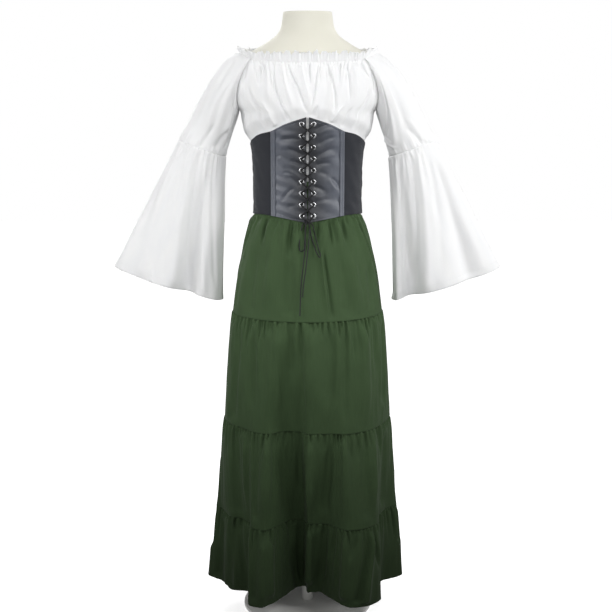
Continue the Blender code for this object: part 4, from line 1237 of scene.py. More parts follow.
def seam_relief(rise, drop, hem):
    """The relief near a gathered seam: the cloth comes out from under the piece above it and
    puffs up; at its lower seam it lies flat and its fold stands proud of the piece below."""
    if not hem:
        rise = flat_below(rise, drop) + proud_fold(drop)
    puff = SEAM_PUFF * hump(drop - SEAM_PUFF_DROP, SEAM_PUFF_HALF)
    return rise + puff - SEAM_TUCK * hump(drop, SEAM_TUCK_DROP)


def even_angles(tier, start, end, count):
    """Angles that lie at even steps of cloth along the tier's lower edge."""
    fine = np.linspace(start, end, FINE_POINTS)
    run = run_of(tier_points(tier, fine, np.full(fine.shape, tier[2])))
    return np.interp(np.linspace(0, run[-1], count), run, fine)


def gathered_tier(tier, lines, rng, finish):
    """A gathered tier: small gathers from its seam over the main creases."""
    name, top, bottom, upper, _ = tier
    hem = bottom == HEM_Z
    high, low = top + SEAM_LAP, HEM_Z if hem else bottom - SEAM_LAP
    for half, start, end in halves(upper[0]):
        angle = even_angles(tier, start, end, TIER_COLUMNS)
        z, turn = np.meshgrid(high - (high - low) * row_shares(TIER_ROWS), angle, indexing="ij")
        points = tier_points(tier, turn, z)
        if half == "front":
            main = in_metres(lines)
        else:
            main = hidden_creases(rng, start, end, top, bottom)
        main += gathers(rng, points, turn, z, *TIER_GATHERS)
        skirt_piece(name, half, points, turn, main, rng, finish, hem)


def first_tier_relief(points, turn, z, edge, lines, rng, behind):
    """The first tier's relief: creases and ripples that start below the cincher's edge, a soft
    puff under it, and troughs that grow deeper as the form falls away."""
    run, drop = run_along(points)
    free = np.clip(edge[None, :] - z, 0, None)
    rise = creases(points, turn, z, lines) * CREASE_DEPTH + ripples(rng, run, drop, WAIST_RIPPLE)
    rise = rise * near_sides(points) * smooth(free / WAIST_START)
    rise = rise + (WAIST_PUFF * smooth(free / WAIST_PUFF_START)
                   * smooth((WAIST_PUFF_END - free) / WAIST_PUFF_END))
    rise = flat_below(rise, drop)
    rise = held_off(rise, EDGE_TROUGH + WAIST_TROUGH * smooth(free / WAIST_TROUGH_DROP))
    rise = rise + proud_fold(drop)
    if behind:
        rise = rise - side_step(points) * smooth(free / WAIST_STEP_DROP)
    return rise


def first_tier(rng, finish):
    """The first tier, sewn flat to the waist under the cincher, with a few soft pleats."""
    for half, start, end in halves(TIER_1_SECTIONS[0][1]):
        behind = half == "back"
        angle = np.linspace(start, end, TIER_COLUMNS)
        edge = edge_z(CORSET_BOTTOM, angle) - HELD_PAST_EDGE
        foot = SEAM_1_Z - SEAM_LAP
        hidden = np.linspace(0, 1, WAIST_ROWS + 1)[:-1, None]
        free = row_shares(TIER_ROWS)[:, None]
        top = WAIST_Z - SEAM / 2
        z = np.concatenate([top + (edge - top) * hidden, edge + (foot - edge) * free])
        turn = np.broadcast_to(angle, z.shape)
        points = tier_1_points(turn, z)
        lines = hidden_creases(rng, start, end, WAIST_CREASE_TOP, SEAM_1_Z) if behind else (
            in_metres(TIER_1_CREASES))
        lines += gathers(rng, points[WAIST_ROWS:], turn[WAIST_ROWS:], z[WAIST_ROWS:],
                         *WAIST_GATHERS)
        rise = first_tier_relief(points, turn, z, edge, lines, rng, behind)
        points = turned_in(raised(points, rise), CLOTH, 0, 1)
        made = surface(f"tier_1_{half}_cloth", points, finish,
                       [f"tier_1_{half}"])


# The blouse

BLOUSE_NECK_COLUMNS = 321
BLOUSE_SEAM_COLUMNS = 61
BLOUSE_ROWS = 66
BLOUSE_GATHER_LEAN = 0.22
# Creases of the blouse's front, in the same columns
BLOUSE_CREASES = (
    (-24.2, 1.258, -23, 1.195, 1.6, 2.7, -5.1, 0.06, 0.2),
    (-23.4, 1.21, -18, 1.13, 2.2, 3.8, -5.9, 0.2, 0.2),
    (-14, 1.257, -7.2, 1.205, 1.6, 2.7, -6.3, 0.06, 0.2),
    (-8.5, 1.222, -0.8, 1.15, 2.2, 3.5, -6.5, 0.2, 0.25),
    (1, 1.254, 1.8, 1.205, 1.6, 2.7, -5.4, 0.06, 0.5),
    (7.2, 1.254, 3, 1.15, 1.8, 3.3, -5.9, 0.06, 0.25),
    (13.5, 1.256, 23.5, 1.145, 1.8, 3.8, -5.4, 0.06, 0.2),
    (22.8, 1.256, 22.2, 1.2, 1.6, 2.7, -4.7, 0.06, 0.5),
    (28, 1.257, 32.5, 1.17, 1.6, 3.3, -5.4, 0.06, 0.4),
    (-33.8, 1.258, -36, 1.2, 1.6, 3.3, -5.1, 0.06, 0.5),
    (39, 1.26, 49, 1.22, 1.6, 3.3, -5.4, 0.06, 0.5),
    (-45, 1.262, -51.2, 1.205, 2, 3.3, -5.4, 0.06, 0.5),
    (50, 1.24, 56, 1.185, 2, 3.3, -5.1, 0.1, 0.4),
    (-19, 1.256, -10, 1.15, 3.7, 6.8, 4.4, 0.06, 0.4),
    (-4.5, 1.254, 2, 1.16, 3.4, 6.1, 4.1, 0.06, 0.4),
    (18, 1.256, 15, 1.15, 3.7, 7.5, 4.1, 0.06, 0.4),
    (33.5, 1.257, 37, 1.16, 3.7, 7.5, 3.7, 0.06, 0.4),
    (-29, 1.258, -28, 1.16, 3.7, 7.5, 4.1, 0.06, 0.4),
    (-47, 1.215, -42, 1.115, 3.9, 6.5, -5.1, 0.3, 0.2),
    (51.2, 1.215, 48, 1.11, 3.9, 6.5, -5.1, 0.3, 0.2),
    (-36, 1.18, -31, 1.115, 4.3, 6.8, 4.1, 0.4, 0.1),
    (28, 1.17, 22, 1.128, 3.7, 6.1, 3.7, 0.4, 0.1),
    (38, 1.165, 34, 1.118, 2.9, 4.9, -4.5, 0.4, 0.1),
    (8, 1.17, 5, 1.14, 2.4, 4.4, -4.2, 0.4, 0.1),
)
# The back's creases: number, heights, lean towards the middle, height of their lower ends,
# half widths, and the shares of rise and fade
BLOUSE_BACK_CREASES = 15
BLOUSE_BACK_HEIGHT = (0.0030, 0.0042)
BLOUSE_BACK_LEAN = 0.25
BLOUSE_BACK_FOOT = (1.10, 1.20)
BLOUSE_BACK_HALF = (0.004, 0.008)
BLOUSE_BACK_ENDS = (0.06, 0.5)
# Rows of the blouse that the cincher hides, down to the waist
BLOUSE_HIDDEN_ROWS = 6
BLOUSE_GATHERS = (0.0066, (-0.0046, -0.0014), (0.014, 0.110), (0.0010, 0.0016))
BLOUSE_RIPPLES = (0.0005, (0.018, 0.05), (0.05, 0.2))
# Heights over the cincher's edge in which the relief starts, its troughs deepen and the back's
# side edges go in
BLOUSE_START = 0.008
BLOUSE_TROUGH_RISE = 0.045
BLOUSE_STEP_RISE = 0.018
# The most that troughs deepen by, and the drop from the top seam in which they do
BLOUSE_TROUGH = 0.0056
BLOUSE_TROUGH_DROP = 0.020
BLOUSE_TROUGH_LEAD = 0.004
# Drops in which the relief starts at the armhole and at the neckline, where some is left
ARMHOLE_EASE = 0.010
NECK_EASE = 0.006
NECK_KEEPS = 0.15
# The top row stands proud of the sleeve's cloth, and of the frill's foot
ARMHOLE_PROUD = 0.0007
NECK_PROUD = 0.0004
PROUD_DROP = 0.0022


def blouse_grid(behind):
    """The angles and heights of a half of the blouse, rows down from its neckline and armholes,
    with its top and the cincher's edge in each column and the part of its columns that lies
    under the neckline."""
    seam_angle = np.linspace(NECK_CORNER, UNDERARM, BLOUSE_SEAM_COLUMNS)
    seam_z = through(ARMHOLE, 2 if behind else 1, seam_angle)
    neck = np.linspace(-NECK_CORNER, NECK_CORNER, BLOUSE_NECK_COLUMNS)
    angle = np.concatenate([-seam_angle[:0:-1], neck, seam_angle[1:]])
    top = np.concatenate([seam_z[:0:-1], neckline_z(neck, behind), seam_z[1:]])
    top = top + np.where(np.abs(angle) > NECK_CORNER, SEAM_LAP, 0.0)
    trim = math.degrees(SEAM_LAP / BLOUSE_SECTIONS[0][1])
    angle[0] -= trim
    angle[-1] += trim
    if behind:
        angle = HALF_TURN + angle
    edge = edge_z(CORSET_TOP, angle) + HELD_PAST_EDGE
    hidden = np.linspace(0, 1, BLOUSE_HIDDEN_ROWS + 1)[1:, None]
    z = np.concatenate([top + (edge - top) * row_shares(BLOUSE_ROWS)[:, None],
                        edge + (WAIST_Z + SEAM / 2 - edge) * hidden])
    corner = len(seam_angle) - 1
    return np.broadcast_to(angle, z.shape), z, top, edge, slice(corner, corner + len(neck))


def blouse_back_creases(rng):
    """Long soft creases down from the back's neckline, which draw in towards the middle."""
    lines = []
    for at in np.linspace(-NECK_CORNER, NECK_CORNER, BLOUSE_BACK_CREASES):
        begin = HALF_TURN + at + rng.uniform(-2, 2)
        high = rng.uniform(*BLOUSE_BACK_HEIGHT) * rng.choice((-1, 1))
        lines.append((begin, float(neckline_z(at, True)), begin - at * BLOUSE_BACK_LEAN,
                      rng.uniform(*BLOUSE_BACK_FOOT), *BLOUSE_BACK_HALF, high,
                      *BLOUSE_BACK_ENDS))
    return lines


def blouse_half(name, behind, rng, finish):
    """The front or back of the blouse: gathered on the neckline, with long creases that run in
    towards the cincher, cut out at the armholes."""
    turn, z, top, edge, part = blouse_grid(behind)
    points = blouse_points(turn, z)
    lines = blouse_back_creases(rng) if behind else in_metres(BLOUSE_CREASES)
    lines += gathers(rng, points[:, part], turn[:, part], z[:, part], *BLOUSE_GATHERS,
                     BLOUSE_GATHER_LEAN)
    drop = top - z
    rise = creases(points, turn, z, lines)
    rise = rise + ripples(rng, run_of(points[0])[None, :], drop, *BLOUSE_RIPPLES)
    rise = rise * near_sides(points) * smooth((z - edge) / BLOUSE_START)
    at_armhole = np.abs(wrap(turn - (HALF_TURN if behind else 0))) > NECK_CORNER
    at_seam = np.where(at_armhole, smooth(drop / ARMHOLE_EASE),
                       smooth(drop / NECK_EASE + NECK_KEEPS))
    deep = np.minimum((z - edge) / BLOUSE_TROUGH_RISE,
                      (drop + BLOUSE_TROUGH_LEAD) / BLOUSE_TROUGH_DROP)
    rise = held_off(rise, EDGE_TROUGH + BLOUSE_TROUGH * smooth(deep)) * at_seam
    rise = rise + np.where(at_armhole, ARMHOLE_PROUD, NECK_PROUD) * hump(drop, PROUD_DROP)
    if behind:
        rise = rise - side_step(points) * smooth((z - edge) / BLOUSE_STEP_RISE)
    points = turned_in(raised(points, rise), CLOTH, 1, 0)
    made = surface(f"{name}_cloth", points, finish, [name])


FRILL_COLUMNS_A_WAVE = 28
FRILL_ROWS = 12
# Slow bends that make the frill's waves uneven: how many go round, and how strong
FRILL_BENDS = (3, 5, 8, 13, 17)
FRILL_BEND_SIZE = (0.10, 0.26)
FRILL_WAVE_SIZE = (0.55, 1.15)
# The lettuce edge: the share of the height that stays, and waves of it: share, turns to a wave
# of the frill, and start
FRILL_HEIGHT_KEEPS = 1.06
FRILL_EDGE_WAVES = ((0.12, 1.37, 0.0), (0.06, 3.3, 0.7))
FRILL_RIPPLE = 0.0025
FRILL_STITCH = (0.0034, 0.0005)
# The rest of the frill: how far its waves reach, and its flare at the rim
FRILL_WAVE_REACH = 1.2
FRILL_FLARE = 1.25
FRILL_REACH_BEND = 0.8
FRILL_RIPPLE_BEND = 0.7
FRILL_HEIGHT_WAVE = (0.15, 0.8)
# Second ruffles and sideways slant: size, turns to a wave of the frill, and start
FRILL_SECOND_WAVES = ((0.5, 2, 1.3), (0.35, 3, 0.4))
FRILL_SLANT_WAVES = ((0.0013, 1, 1.1), (0.0011, 0.61, 0.0))
# Its single cloth as a share of the cloth's thickness, and the rows turned in at the rim
FRILL_THINNER = 0.6
FRILL_RETURN_ROWS = 3
# The gathering thread: how far out of the seam line, as a share of the cloth, and how far up
THREAD_OUT = 0.9
THREAD_UP = 0.0004


def waves_at(phase, waves):
    """A sum of sines of a phase, by the size, turns and start of each."""
    return sum(size * np.sin(turns * phase + start) for size, turns, start in waves)


def frill_waves(rng, share):
    """The phase of the frill's waves at each share of the way round, with slow bends that make
    them uneven, and each wave's own size."""
    bend = np.zeros(share.shape)
    for turns in FRILL_BENDS:
        size = rng.uniform(*FRILL_BEND_SIZE)
        bend += size * np.sin(2 * math.pi * (turns * share + rng.uniform()))
    each = rng.uniform(*FRILL_WAVE_SIZE, FRILL_WAVES)
    uneven = np.interp(share * FRILL_WAVES, np.arange(FRILL_WAVES + 1), [*each, each[0]])
    return 2 * math.pi * FRILL_WAVES * share + bend, uneven


def neck_frill(rng, finish, thread):
    """The frill above the gathering line: a ring whose reach out is a cosine of the way round,
    with waves of uneven width and height, small second ruffles and a lettuce-edged rim."""
    count = FRILL_WAVES * FRILL_COLUMNS_A_WAVE
    foot = neckline_ring(count)
    flat = np.gradient(np.concatenate([foot[-1:], foot, foot[:1]]), axis=0)[1:-1]
    out = unit(np.stack([flat[:, 1], -flat[:, 0], np.zeros(count)], axis=-1))
    phase, uneven = frill_waves(rng, np.arange(count) / count)
    wave = (0.5 + 0.5 * np.cos(phase)) * uneven
    second = waves_at(phase, FRILL_SECOND_WAVES)
    aslant = waves_at(phase, FRILL_SLANT_WAVES)
    aside = np.abs(foot[:, 0]) / NECKLINE_SHOULDER_X
    height = FRILL_FRONT_HEIGHT + (FRILL_SIDE_HEIGHT - FRILL_FRONT_HEIGHT) * aside ** 2
    size, start = FRILL_HEIGHT_WAVE
    edge = FRILL_HEIGHT_KEEPS + size * np.cos(phase + start) * uneven
    for size, turns, start in FRILL_EDGE_WAVES:
        edge = edge + size * np.sin(turns * phase + start)
    height = height * edge
    up = np.array([0.0, 0.0, 1.0])
    rows = []
    for rise in np.linspace(1, 0, FRILL_ROWS):
        flare = (FRILL_REACH * FRILL_FLARE - FRILL_FOOT_REACH) * rise ** FRILL_REACH_BEND
        reach = (FRILL_OUT * (0.5 + 0.5 * rise)
                 + FRILL_WAVE_REACH * wave * (FRILL_FOOT_REACH + flare))
        reach = reach + second * FRILL_RIPPLE * rise ** FRILL_RIPPLE_BEND
        lift = FRILL_LIFT + (height - FRILL_LIFT) * rise
        rows.append(foot + up * lift[:, None] + out * reach[:, None]
                    + unit(flat) * aslant[:, None] * rise)
    points = turned_in(np.array(rows), CLOTH * FRILL_THINNER, FRILL_RETURN_ROWS, 0, closed=True)
    made = surface("neck_frill_cloth", points, finish, ["neck_frill"],
                   closed=True)
    line = foot + out * (CLOTH * THREAD_OUT)
    line = np.concatenate([line, line[:1]]) + up * THREAD_UP
    stitches("neckline_stitches", [(line, np.concatenate([out, out[:1]]))], *FRILL_STITCH,
             thread, "blouse_cotton")


# The sleeves

SHARE_LAP = 0.004
SLEEVE_COLUMNS = 252
SLEEVE_ROWS = 60
# Creases of an upper sleeve: turn and share where each starts and ends, half widths and height
# in millimetres, rise and fade
SLEEVE_CREASES_RIGHT = (
    (61, 0.3, 92, 0.88, 8, 13, -4.6, 0.3, 0.3),
    (50, 0.1, 69, 0.6, 8, 13, 4, 0.25, 0.4),
    (30, 0.1, 45, 0.6, 8, 13, -3, 0.25, 0.4),
    (84, 0.15, 160, 0.7, 6, 10, -3.6, 0.25, 0.3),
    (106, 0.4, 136, 0.92, 7, 11, 4, 0.3, 0.3),
    (186, 0.52, 132, 0.8, 4, 6, -4.4, 0.2, 0.4),
    (182, 0.64, 124, 0.94, 4, 6, 3.6, 0.2, 0.4),
    (88, 0.78, 68, 1, 5, 7, -3.4, 0.3, 0.1),
    (75, 0.72, 56, 1, 5, 8, 2.8, 0.3, 0.1),
    (-60, 0.25, -92, 0.88, 8, 13, -4.6, 0.3, 0.3),
    (-40, 0.1, -58, 0.7, 8, 13, 4, 0.25, 0.4),
    (-84, 0.15, -150, 0.72, 7, 11, -3.6, 0.25, 0.3),
    (-110, 0.4, -132, 0.95, 7, 11, 4, 0.3, 0.2),
    (-178, 0.58, -130, 0.86, 5, 7, -4, 0.2, 0.4),
)
SLEEVE_CREASES_LEFT = (
    (42, 0.1, 69, 0.6, 8, 13, -3.6, 0.25, 0.4),
    (64, 0.25, 80, 0.86, 9, 14, 4.2, 0.3, 0.3),
    (104, 0.06, 160, 0.5, 6, 10, -3.6, 0.25, 0.3),
    (125, 0.08, 138, 0.86, 7, 11, 3.8, 0.3, 0.3),
    (138, 0.5, 122, 0.97, 5, 8, -4.2, 0.25, 0.2),
    (22, 0.35, 42, 0.9, 8, 13, -3.4, 0.3, 0.3),
    (98, 0.7, 88, 1, 5, 7, -3.4, 0.3, 0.1),
    (182, 0.6, 146, 0.9, 4.5, 6.5, -4, 0.2, 0.4),
    (-50, 0.2, -86, 0.86, 8, 13, -4.4, 0.3, 0.3),
    (-34, 0.1, -52, 0.74, 8, 13, 4, 0.25, 0.4),
    (-98, 0.15, -152, 0.66, 7, 11, -3.6, 0.25, 0.3),
    (-118, 0.4, -126, 0.95, 7, 11, 4, 0.3, 0.2),
)
# Creases of a bell, in the same columns: the main troughs and ridges between its folds
BELL_CREASES_RIGHT = (
    (171, 0.02, 174, 1, 4, 9, -5, 0.08, 0.05),
    (137.5, 0.02, 151, 1, 4, 10, 4.4, 0.08, 0.05),
    (100, 0.02, 128, 0.98, 4, 11, -5, 0.08, 0.1),
    (86, 0.02, 112, 1, 4.5, 12, 4.4, 0.08, 0.05),
    (63.5, 0.05, 97.5, 0.96, 4.5, 12, -3.2, 0.15, 0.15),
    (52, 0.1, 66, 1, 6, 16, -4.4, 0.2, 0.05),
    (38.5, 0.08, 45, 1, 6, 15, 4, 0.2, 0.05),
    (118, 0.02, 142, 0.6, 4, 8, 3, 0.1, 0.4),
    (74, 0.02, 84, 0.45, 3.5, 7, 2.6, 0.05, 0.6),
    (-40, 0.05, -44, 1, 6, 15, 4.2, 0.15, 0.05),
    (-84, 0.02, -98, 1, 5, 13, 4.6, 0.1, 0.05),
    (-104, 0.02, -112, 0.7, 4.5, 10, -4, 0.1, 0.4),
    (-140, 0.02, -150, 1, 4.5, 11, 4.4, 0.1, 0.05),
    (-172, 0.02, -172, 1, 4, 9, -4, 0.1, 0.05),
)
BELL_CREASES_LEFT = (
    (89, 0.02, 113, 1, 4.5, 13, -5, 0.1, 0.05),
    (104.5, 0.02, 133, 1, 4, 10, 4.4, 0.1, 0.05),
    (122.5, 0.02, 151, 0.95, 4, 8, -3.4, 0.08, 0.15),
    (172, 0.02, 178, 1, 4, 9, -4, 0.08, 0.05),
    (76, 0.05, 98, 1, 4.5, 12, 3.6, 0.15, 0.05),
    (57, 0.08, 86, 0.98, 5, 13, -3.4, 0.2, 0.1),
    (33, 0.1, 62, 1, 6, 15, 3.6, 0.2, 0.05),
    (26, 0.05, 38, 0.9, 6, 14, -3, 0.2, 0.2),
    (43, 0, 61.5, 0.22, 3.5, 6, -2.6, 0.05, 0.6),
    (68, 0.88, 78, 1.02, 4, 6, 3, 0.3, 0.05),
    (-38, 0.05, -42, 1, 6, 15, 4.2, 0.15, 0.05),
    (-78, 0.02, -92, 1, 5, 13, 4.6, 0.1, 0.05),
    (-98, 0.02, -106, 0.7, 4.5, 10, -4, 0.1, 0.4),
    (-138, 0.02, -148, 1, 4.5, 11, 4.4, 0.1, 0.05),
)
BELL_COLUMNS = 336
BELL_ROWS = 46
BELL_HEM = 0.012


# Small puckers along a sleeve's seams: how unevenly they are spaced, their lengths as shares of
# the longest, how many degrees they drift, half widths, and the shares of rise and fade
PUCKER_SHIFT = 0.35
PUCKER_LENGTHS = (0.35, 1.3)
PUCKER_DRIFT = 2.5
PUCKER_HALF = (0.0022, 0.0036)
PUCKER_ENDS = (0.05, 0.9)


def sleeve_gathers(rng, share_long, height, count, down=True):
    """Lines for small eased puckers at one of a sleeve's seams: at uneven turns, for a short
    share of its length, down from its top or up from its foot."""
    lines = []
    for number in range(count):
        turn = (number + rng.uniform(-PUCKER_SHIFT, PUCKER_SHIFT)) * 360 / count
        long = share_long * rng.uniform(*PUCKER_LENGTHS)
        first, last = (0.0, long) if down else (1.0, 1.0 - long)
        lines.append((turn, first, turn + rng.normal(0, PUCKER_DRIFT), last, *PUCKER_HALF,
                      rng.uniform(*height), *PUCKER_ENDS))
    return lines


# Puckers at a sleeve's foot and top and at a bell's top: their share of its length, their
# heights and their number
SLEEVE_FOOT_PUCKERS = (0.16, (0.0008, 0.0020), 34)
SLEEVE_TOP_PUCKERS = (0.14, (0.0006, 0.0016), 38)
BELL_PUCKERS = (0.26, (0.0008, 0.0022), 44)
SLEEVE_RIPPLES = (0.0006, (0.03, 0.08), (0.05, 0.2))
BELL_RIPPLES = (0.0007, (0.03, 0.09), (0.12, 0.4))
# Drops from the armhole, and distances from the elbow seam, in which a sleeve's relief starts
SLEEVE_START = 0.006
SLEEVE_END = 0.004
SLEEVE_FOLD_HALF = 0.0024
SLEEVE_TUCK = 0.0005
SLEEVE_TUCK_DROP = 0.0030
# A bell comes out from under the upper sleeve and puffs up, and its hem is drawn in a little
# by its stitches, more at each pucker
BELL_START = 0.004
BELL_TUCK = 0.0014
BELL_TUCK_DROP = 0.0022
BELL_PUFF = 0.0007
BELL_PUFF_DROP = 0.005
BELL_PUFF_HALF = 0.003
HEM_GROOVE = 0.0006
HEM_GROOVE_HALF = 0.0016
HEM_PUCKER = 0.4
HEM_PUCKER_PITCH = 0.011
HEM_PUCKER_DRIFT = 0.05
HEM_STITCH = (0.0034, 0.00035)


def upper_sleeve(label, side, lines, rng, finish):
    """The raglan upper sleeve, puckered along its armhole and eased into the elbow seam."""
    turn = np.arange(SLEEVE_COLUMNS) * 360.0 / SLEEVE_COLUMNS
    share = row_shares(SLEEVE_ROWS, 0.35) * (1 + 3 * SHARE_LAP) - 2 * SHARE_LAP
    points = upper_sleeve_points(turn, share)[:, ::-1]
    u, v = np.meshgrid(turn[::-1], share)
    main = in_metres(lines) + sleeve_gathers(rng, *SLEEVE_FOOT_PUCKERS, down=False)
    main += sleeve_gathers(rng, *SLEEVE_TOP_PUCKERS)
    run, drop = run_along(points)
    rise = creases(points, u, v, main, closed=True)
    rise = rise + ripples(rng, run, drop, *SLEEVE_RIPPLES)
    from_seam = drop[-1:] - drop
    rise = rise * smooth(drop / SLEEVE_START) * smooth(from_seam / SLEEVE_END)
    rise = rise + FOLD_RISE * hump(from_seam, SLEEVE_FOLD_HALF)
    rise = rise - SLEEVE_TUCK * hump(drop, SLEEVE_TUCK_DROP)
    points = turned_in(raised(points, rise, closed=True), CLOTH, 0, 1, closed=True)
    if side < 0:
        points = mirrored(points)
    made = surface(f"sleeve_{label}_cloth", points, finish,
                   [f"sleeve_{label}"], closed=True)


def bell(label, side, folds, lines, rng, finish, thread):
    """The bell: eased into the elbow seam, with hanging troughs and ridges, lined by its own
    inner side, and a stitched hem."""
    turn = np.arange(BELL_COLUMNS) * 360.0 / BELL_COLUMNS
    share = row_shares(BELL_ROWS, 0.4) * (1 + SHARE_LAP) - SHARE_LAP
    points = bell_points(turn, share, folds)[:, ::-1]
    u, v = np.meshgrid(turn[::-1], share)
    main = in_metres(lines) + sleeve_gathers(rng, *BELL_PUCKERS)
    run, drop = run_along(points)
    from_hem = drop[-1:] - drop
    rise = creases(points, u, v, main, closed=True)
    rise = rise + ripples(rng, run, drop, *BELL_RIPPLES)
    rise = rise * smooth(drop / BELL_START) - BELL_TUCK * hump(drop, BELL_TUCK_DROP)
    rise = rise + BELL_PUFF * hump(drop - BELL_PUFF_DROP, BELL_PUFF_HALF)
    turns = 2 * math.pi * run / HEM_PUCKER_PITCH + 2 * np.sin(run / HEM_PUCKER_DRIFT)
    pucker = 1 + HEM_PUCKER * np.sin(turns)
    rise = rise - HEM_GROOVE * hump(from_hem - BELL_HEM, HEM_GROOVE_HALF) * pucker
    cloth = raised(points, rise, closed=True)
    row = np.argmin(np.abs(np.median(from_hem, axis=1) - BELL_HEM))
    line, up = cloth[row], outward(cloth, closed=True)[row]
    points = turned_in(cloth, CLOTH, 0, BELL_ROWS - 1, closed=True)
    if side < 0:
        points = mirrored(points)
        line, up = line * MIRROR, up * MIRROR
    made = surface(f"bell_{label}_cloth", points, finish, [f"bell_{label}"],
                   closed=True, tube_wall=True)
    line, up = (np.concatenate([part, part[:1]]) for part in (line, up))
    stitches(f"bell_{label}_hem_stitches", [(line, up)], *HEM_STITCH, thread,
             "blouse_cotton")


# The cincher

LEATHER_COLUMNS = 96
LEATHER_ROWS = 190
TOP_BINDING = 0.0045
BINDING_RISE = 0.0006
BOTTOM_STITCH = 0.0032
STITCH_PITCH = 0.0030
EYELET_PULL = 0.0090
HOLE_R = 0.0030
HOLE_DEPTH = 0.0012
UNEVEN_WAVES = 5
UNEVEN_HEIGHT = 0.00022
# Creases pressed in the leather: x and height where each starts and ends, and half width and
# height in millimetres
LEATHER_CREASES_LEFT = (
    (-0.058, 1.0933, -0.018, 1.095, 4.5, -2.4),
    (-0.056, 1.103, -0.018, 1.106, 5, 1.2),
    (-0.042, 1.074, -0.012, 1.061, 4.4, -2.2),
    (-0.06, 1.078, -0.03, 1.082, 6, 1.2),
    (-0.038, 1.048, -0.011, 1.039, 4, -2),
    (-0.052, 1.023, -0.034, 1.019, 3.6, -1.6),
    (-0.04, 1.015, -0.016, 0.989, 5, -2.4),
    (-0.036, 1.027, -0.013, 1.008, 4, 1.2),
    (-0.056, 0.962, -0.032, 0.99, 4, -2),
    (-0.044, 0.948, -0.016, 0.954, 5, -1.4),
    (-0.062, 1.056, -0.048, 1.034, 7, 1.2),
)
LEATHER_CREASES_RIGHT = (
    (0.018, 1.116, 0.054, 1.128, 4.5, -2.2),
    (0.02, 1.106, 0.056, 1.116, 5, 1.4),
    (0.022, 1.083, 0.06, 1.101, 4.8, -2.4),
    (0.02, 1.058, 0.06, 1.076, 4.6, -2.2),
    (0.03, 1.052, 0.062, 1.064, 5.5, 1.2),
    (0.018, 1.039, 0.05, 1.044, 4, -2),
    (0.052, 1.011, 0.07, 0.988, 4, -2),
    (0.044, 1.009, 0.06, 0.984, 5, 1.2),
    (0.015, 0.993, 0.037, 0.983, 4.4, -2),
    (0.018, 0.96, 0.056, 0.964, 5.5, -1.4),
    (0.026, 1.024, 0.044, 1.018, 5, -1.2),
)


def pressed(x, z, lines):
    """The heights of creases between two places on the front: bell-shaped across, tapered to
    their ends."""
    total = np.zeros(np.broadcast(x, z).shape)
    for x0, z0, x1, z1, half, height in lines:
        long = math.hypot(x1 - x0, z1 - z0)
        way = ((x1 - x0) / long, (z1 - z0) / long)
        along = ((x - x0) * way[0] + (z - z0) * way[1]) / long
        bow = 0.05 * long * np.sin(math.pi * np.clip(along, 0, 1))
        across = (z - z0) * way[0] - (x - x0) * way[1] - bow
        ends = smooth((along + 0.15) / 0.35) * smooth((1.15 - along) / 0.45)
        total += height * ends * hump(across, half)
    return total


# Relief of the leather: puckers round each eyelet (how many, height, and where they start), the
# soft edges of its holes and binding, and the grooves sewn along the binding and the lower edge
# (depth, half width)
PULLS = 5
PULL_HEIGHT = 0.0005
PULL_START = 0.006
HOLE_EDGE = 0.0006
BINDING_EDGE = 0.0007
BINDING_GROOVE = (0.0005, 0.0005)
BINDING_GROOVE_DROP = 0.0002
BOTTOM_GROOVE = (0.0003, 0.0006)


def leather_relief(x, z, lines, rng):
    """The leather front's relief over its plain form: creases, puckers pulled towards each
    eyelet, a bound top edge, and small unevenness."""
    bottom, top = corset_edges(x)
    relief = pressed(x, z, in_metres(lines))
    for height in eyelet_heights():
        away = np.hypot(np.abs(x) - EYELET_X, z - height)
        round_hole = np.arctan2(z - height, np.abs(x) - EYELET_X)
        rays = np.cos(PULLS * round_hole + rng.uniform(0, 6))
        relief += PULL_HEIGHT * hump(away, EYELET_PULL) * rays * smooth(away / PULL_START)
        relief -= HOLE_DEPTH * (1 - smooth((away - HOLE_R) / HOLE_EDGE))
    for _ in range(UNEVEN_WAVES):
        turns = x / rng.uniform(0.03, 0.09) + z / rng.uniform(0.02, 0.06)
        relief += UNEVEN_HEIGHT * np.sin(2 * math.pi * (turns + rng.uniform()))
    from_binding = z - top + TOP_BINDING
    relief += BINDING_RISE * smooth(from_binding / BINDING_EDGE)
    depth, half = BINDING_GROOVE
    relief -= depth * hump(from_binding + BINDING_GROOVE_DROP, half)
    depth, half = BOTTOM_GROOVE
    relief -= depth * hump(z - bottom - BOTTOM_STITCH, half)
    return relief


def rimmed(lift, edge, inside):
    """A panel's lift with its rim: the second row and column from each side lie on the rounded
    edge, and the first return inside."""
    lift[[1, -2]] = edge
    lift[:, [1, -2]] = edge
    lift[[0, -1]] = inside
    lift[:, [0, -1]] = inside
    return lift


def panel_points(side, inner_is_gap, inner, outer, columns, rows, wall, offset, relief):
    """A front panel with its edges turned in all round: rows down and columns from its left. Its
    first and last two rows and columns are the rounded edge and the return inside."""
    steps = np.linspace(0, 1, columns)
    across = np.concatenate([[0.02, 0.0], steps, [1.0, 0.98]])
    down = np.concatenate([[0.01, 0.0], row_shares(rows, 0.4), [1.0, 0.99]])[:, None]
    if side < 0:
        across = across[::-1]
    bottom, top = corset_edges(outer * across) if inner_is_gap else corset_edges(
        inner + (outer - inner) * across)
    z = top + (bottom - top) * down
    first = np.full(z.shape, inner)
    if inner_is_gap:
        low, high = LACING_GAP_HEIGHTS
        first = LACING_GAP_BOTTOM + ((LACING_GAP_TOP - LACING_GAP_BOTTOM)
                                     * smooth((z - low) / (high - low)))
    x = (first + (outer - first) * across) * side
    lift = rimmed(offset + relief(x, z) + wall / 2, offset, offset - wall / 2)
    return corset_points(x, z, lift)[0]


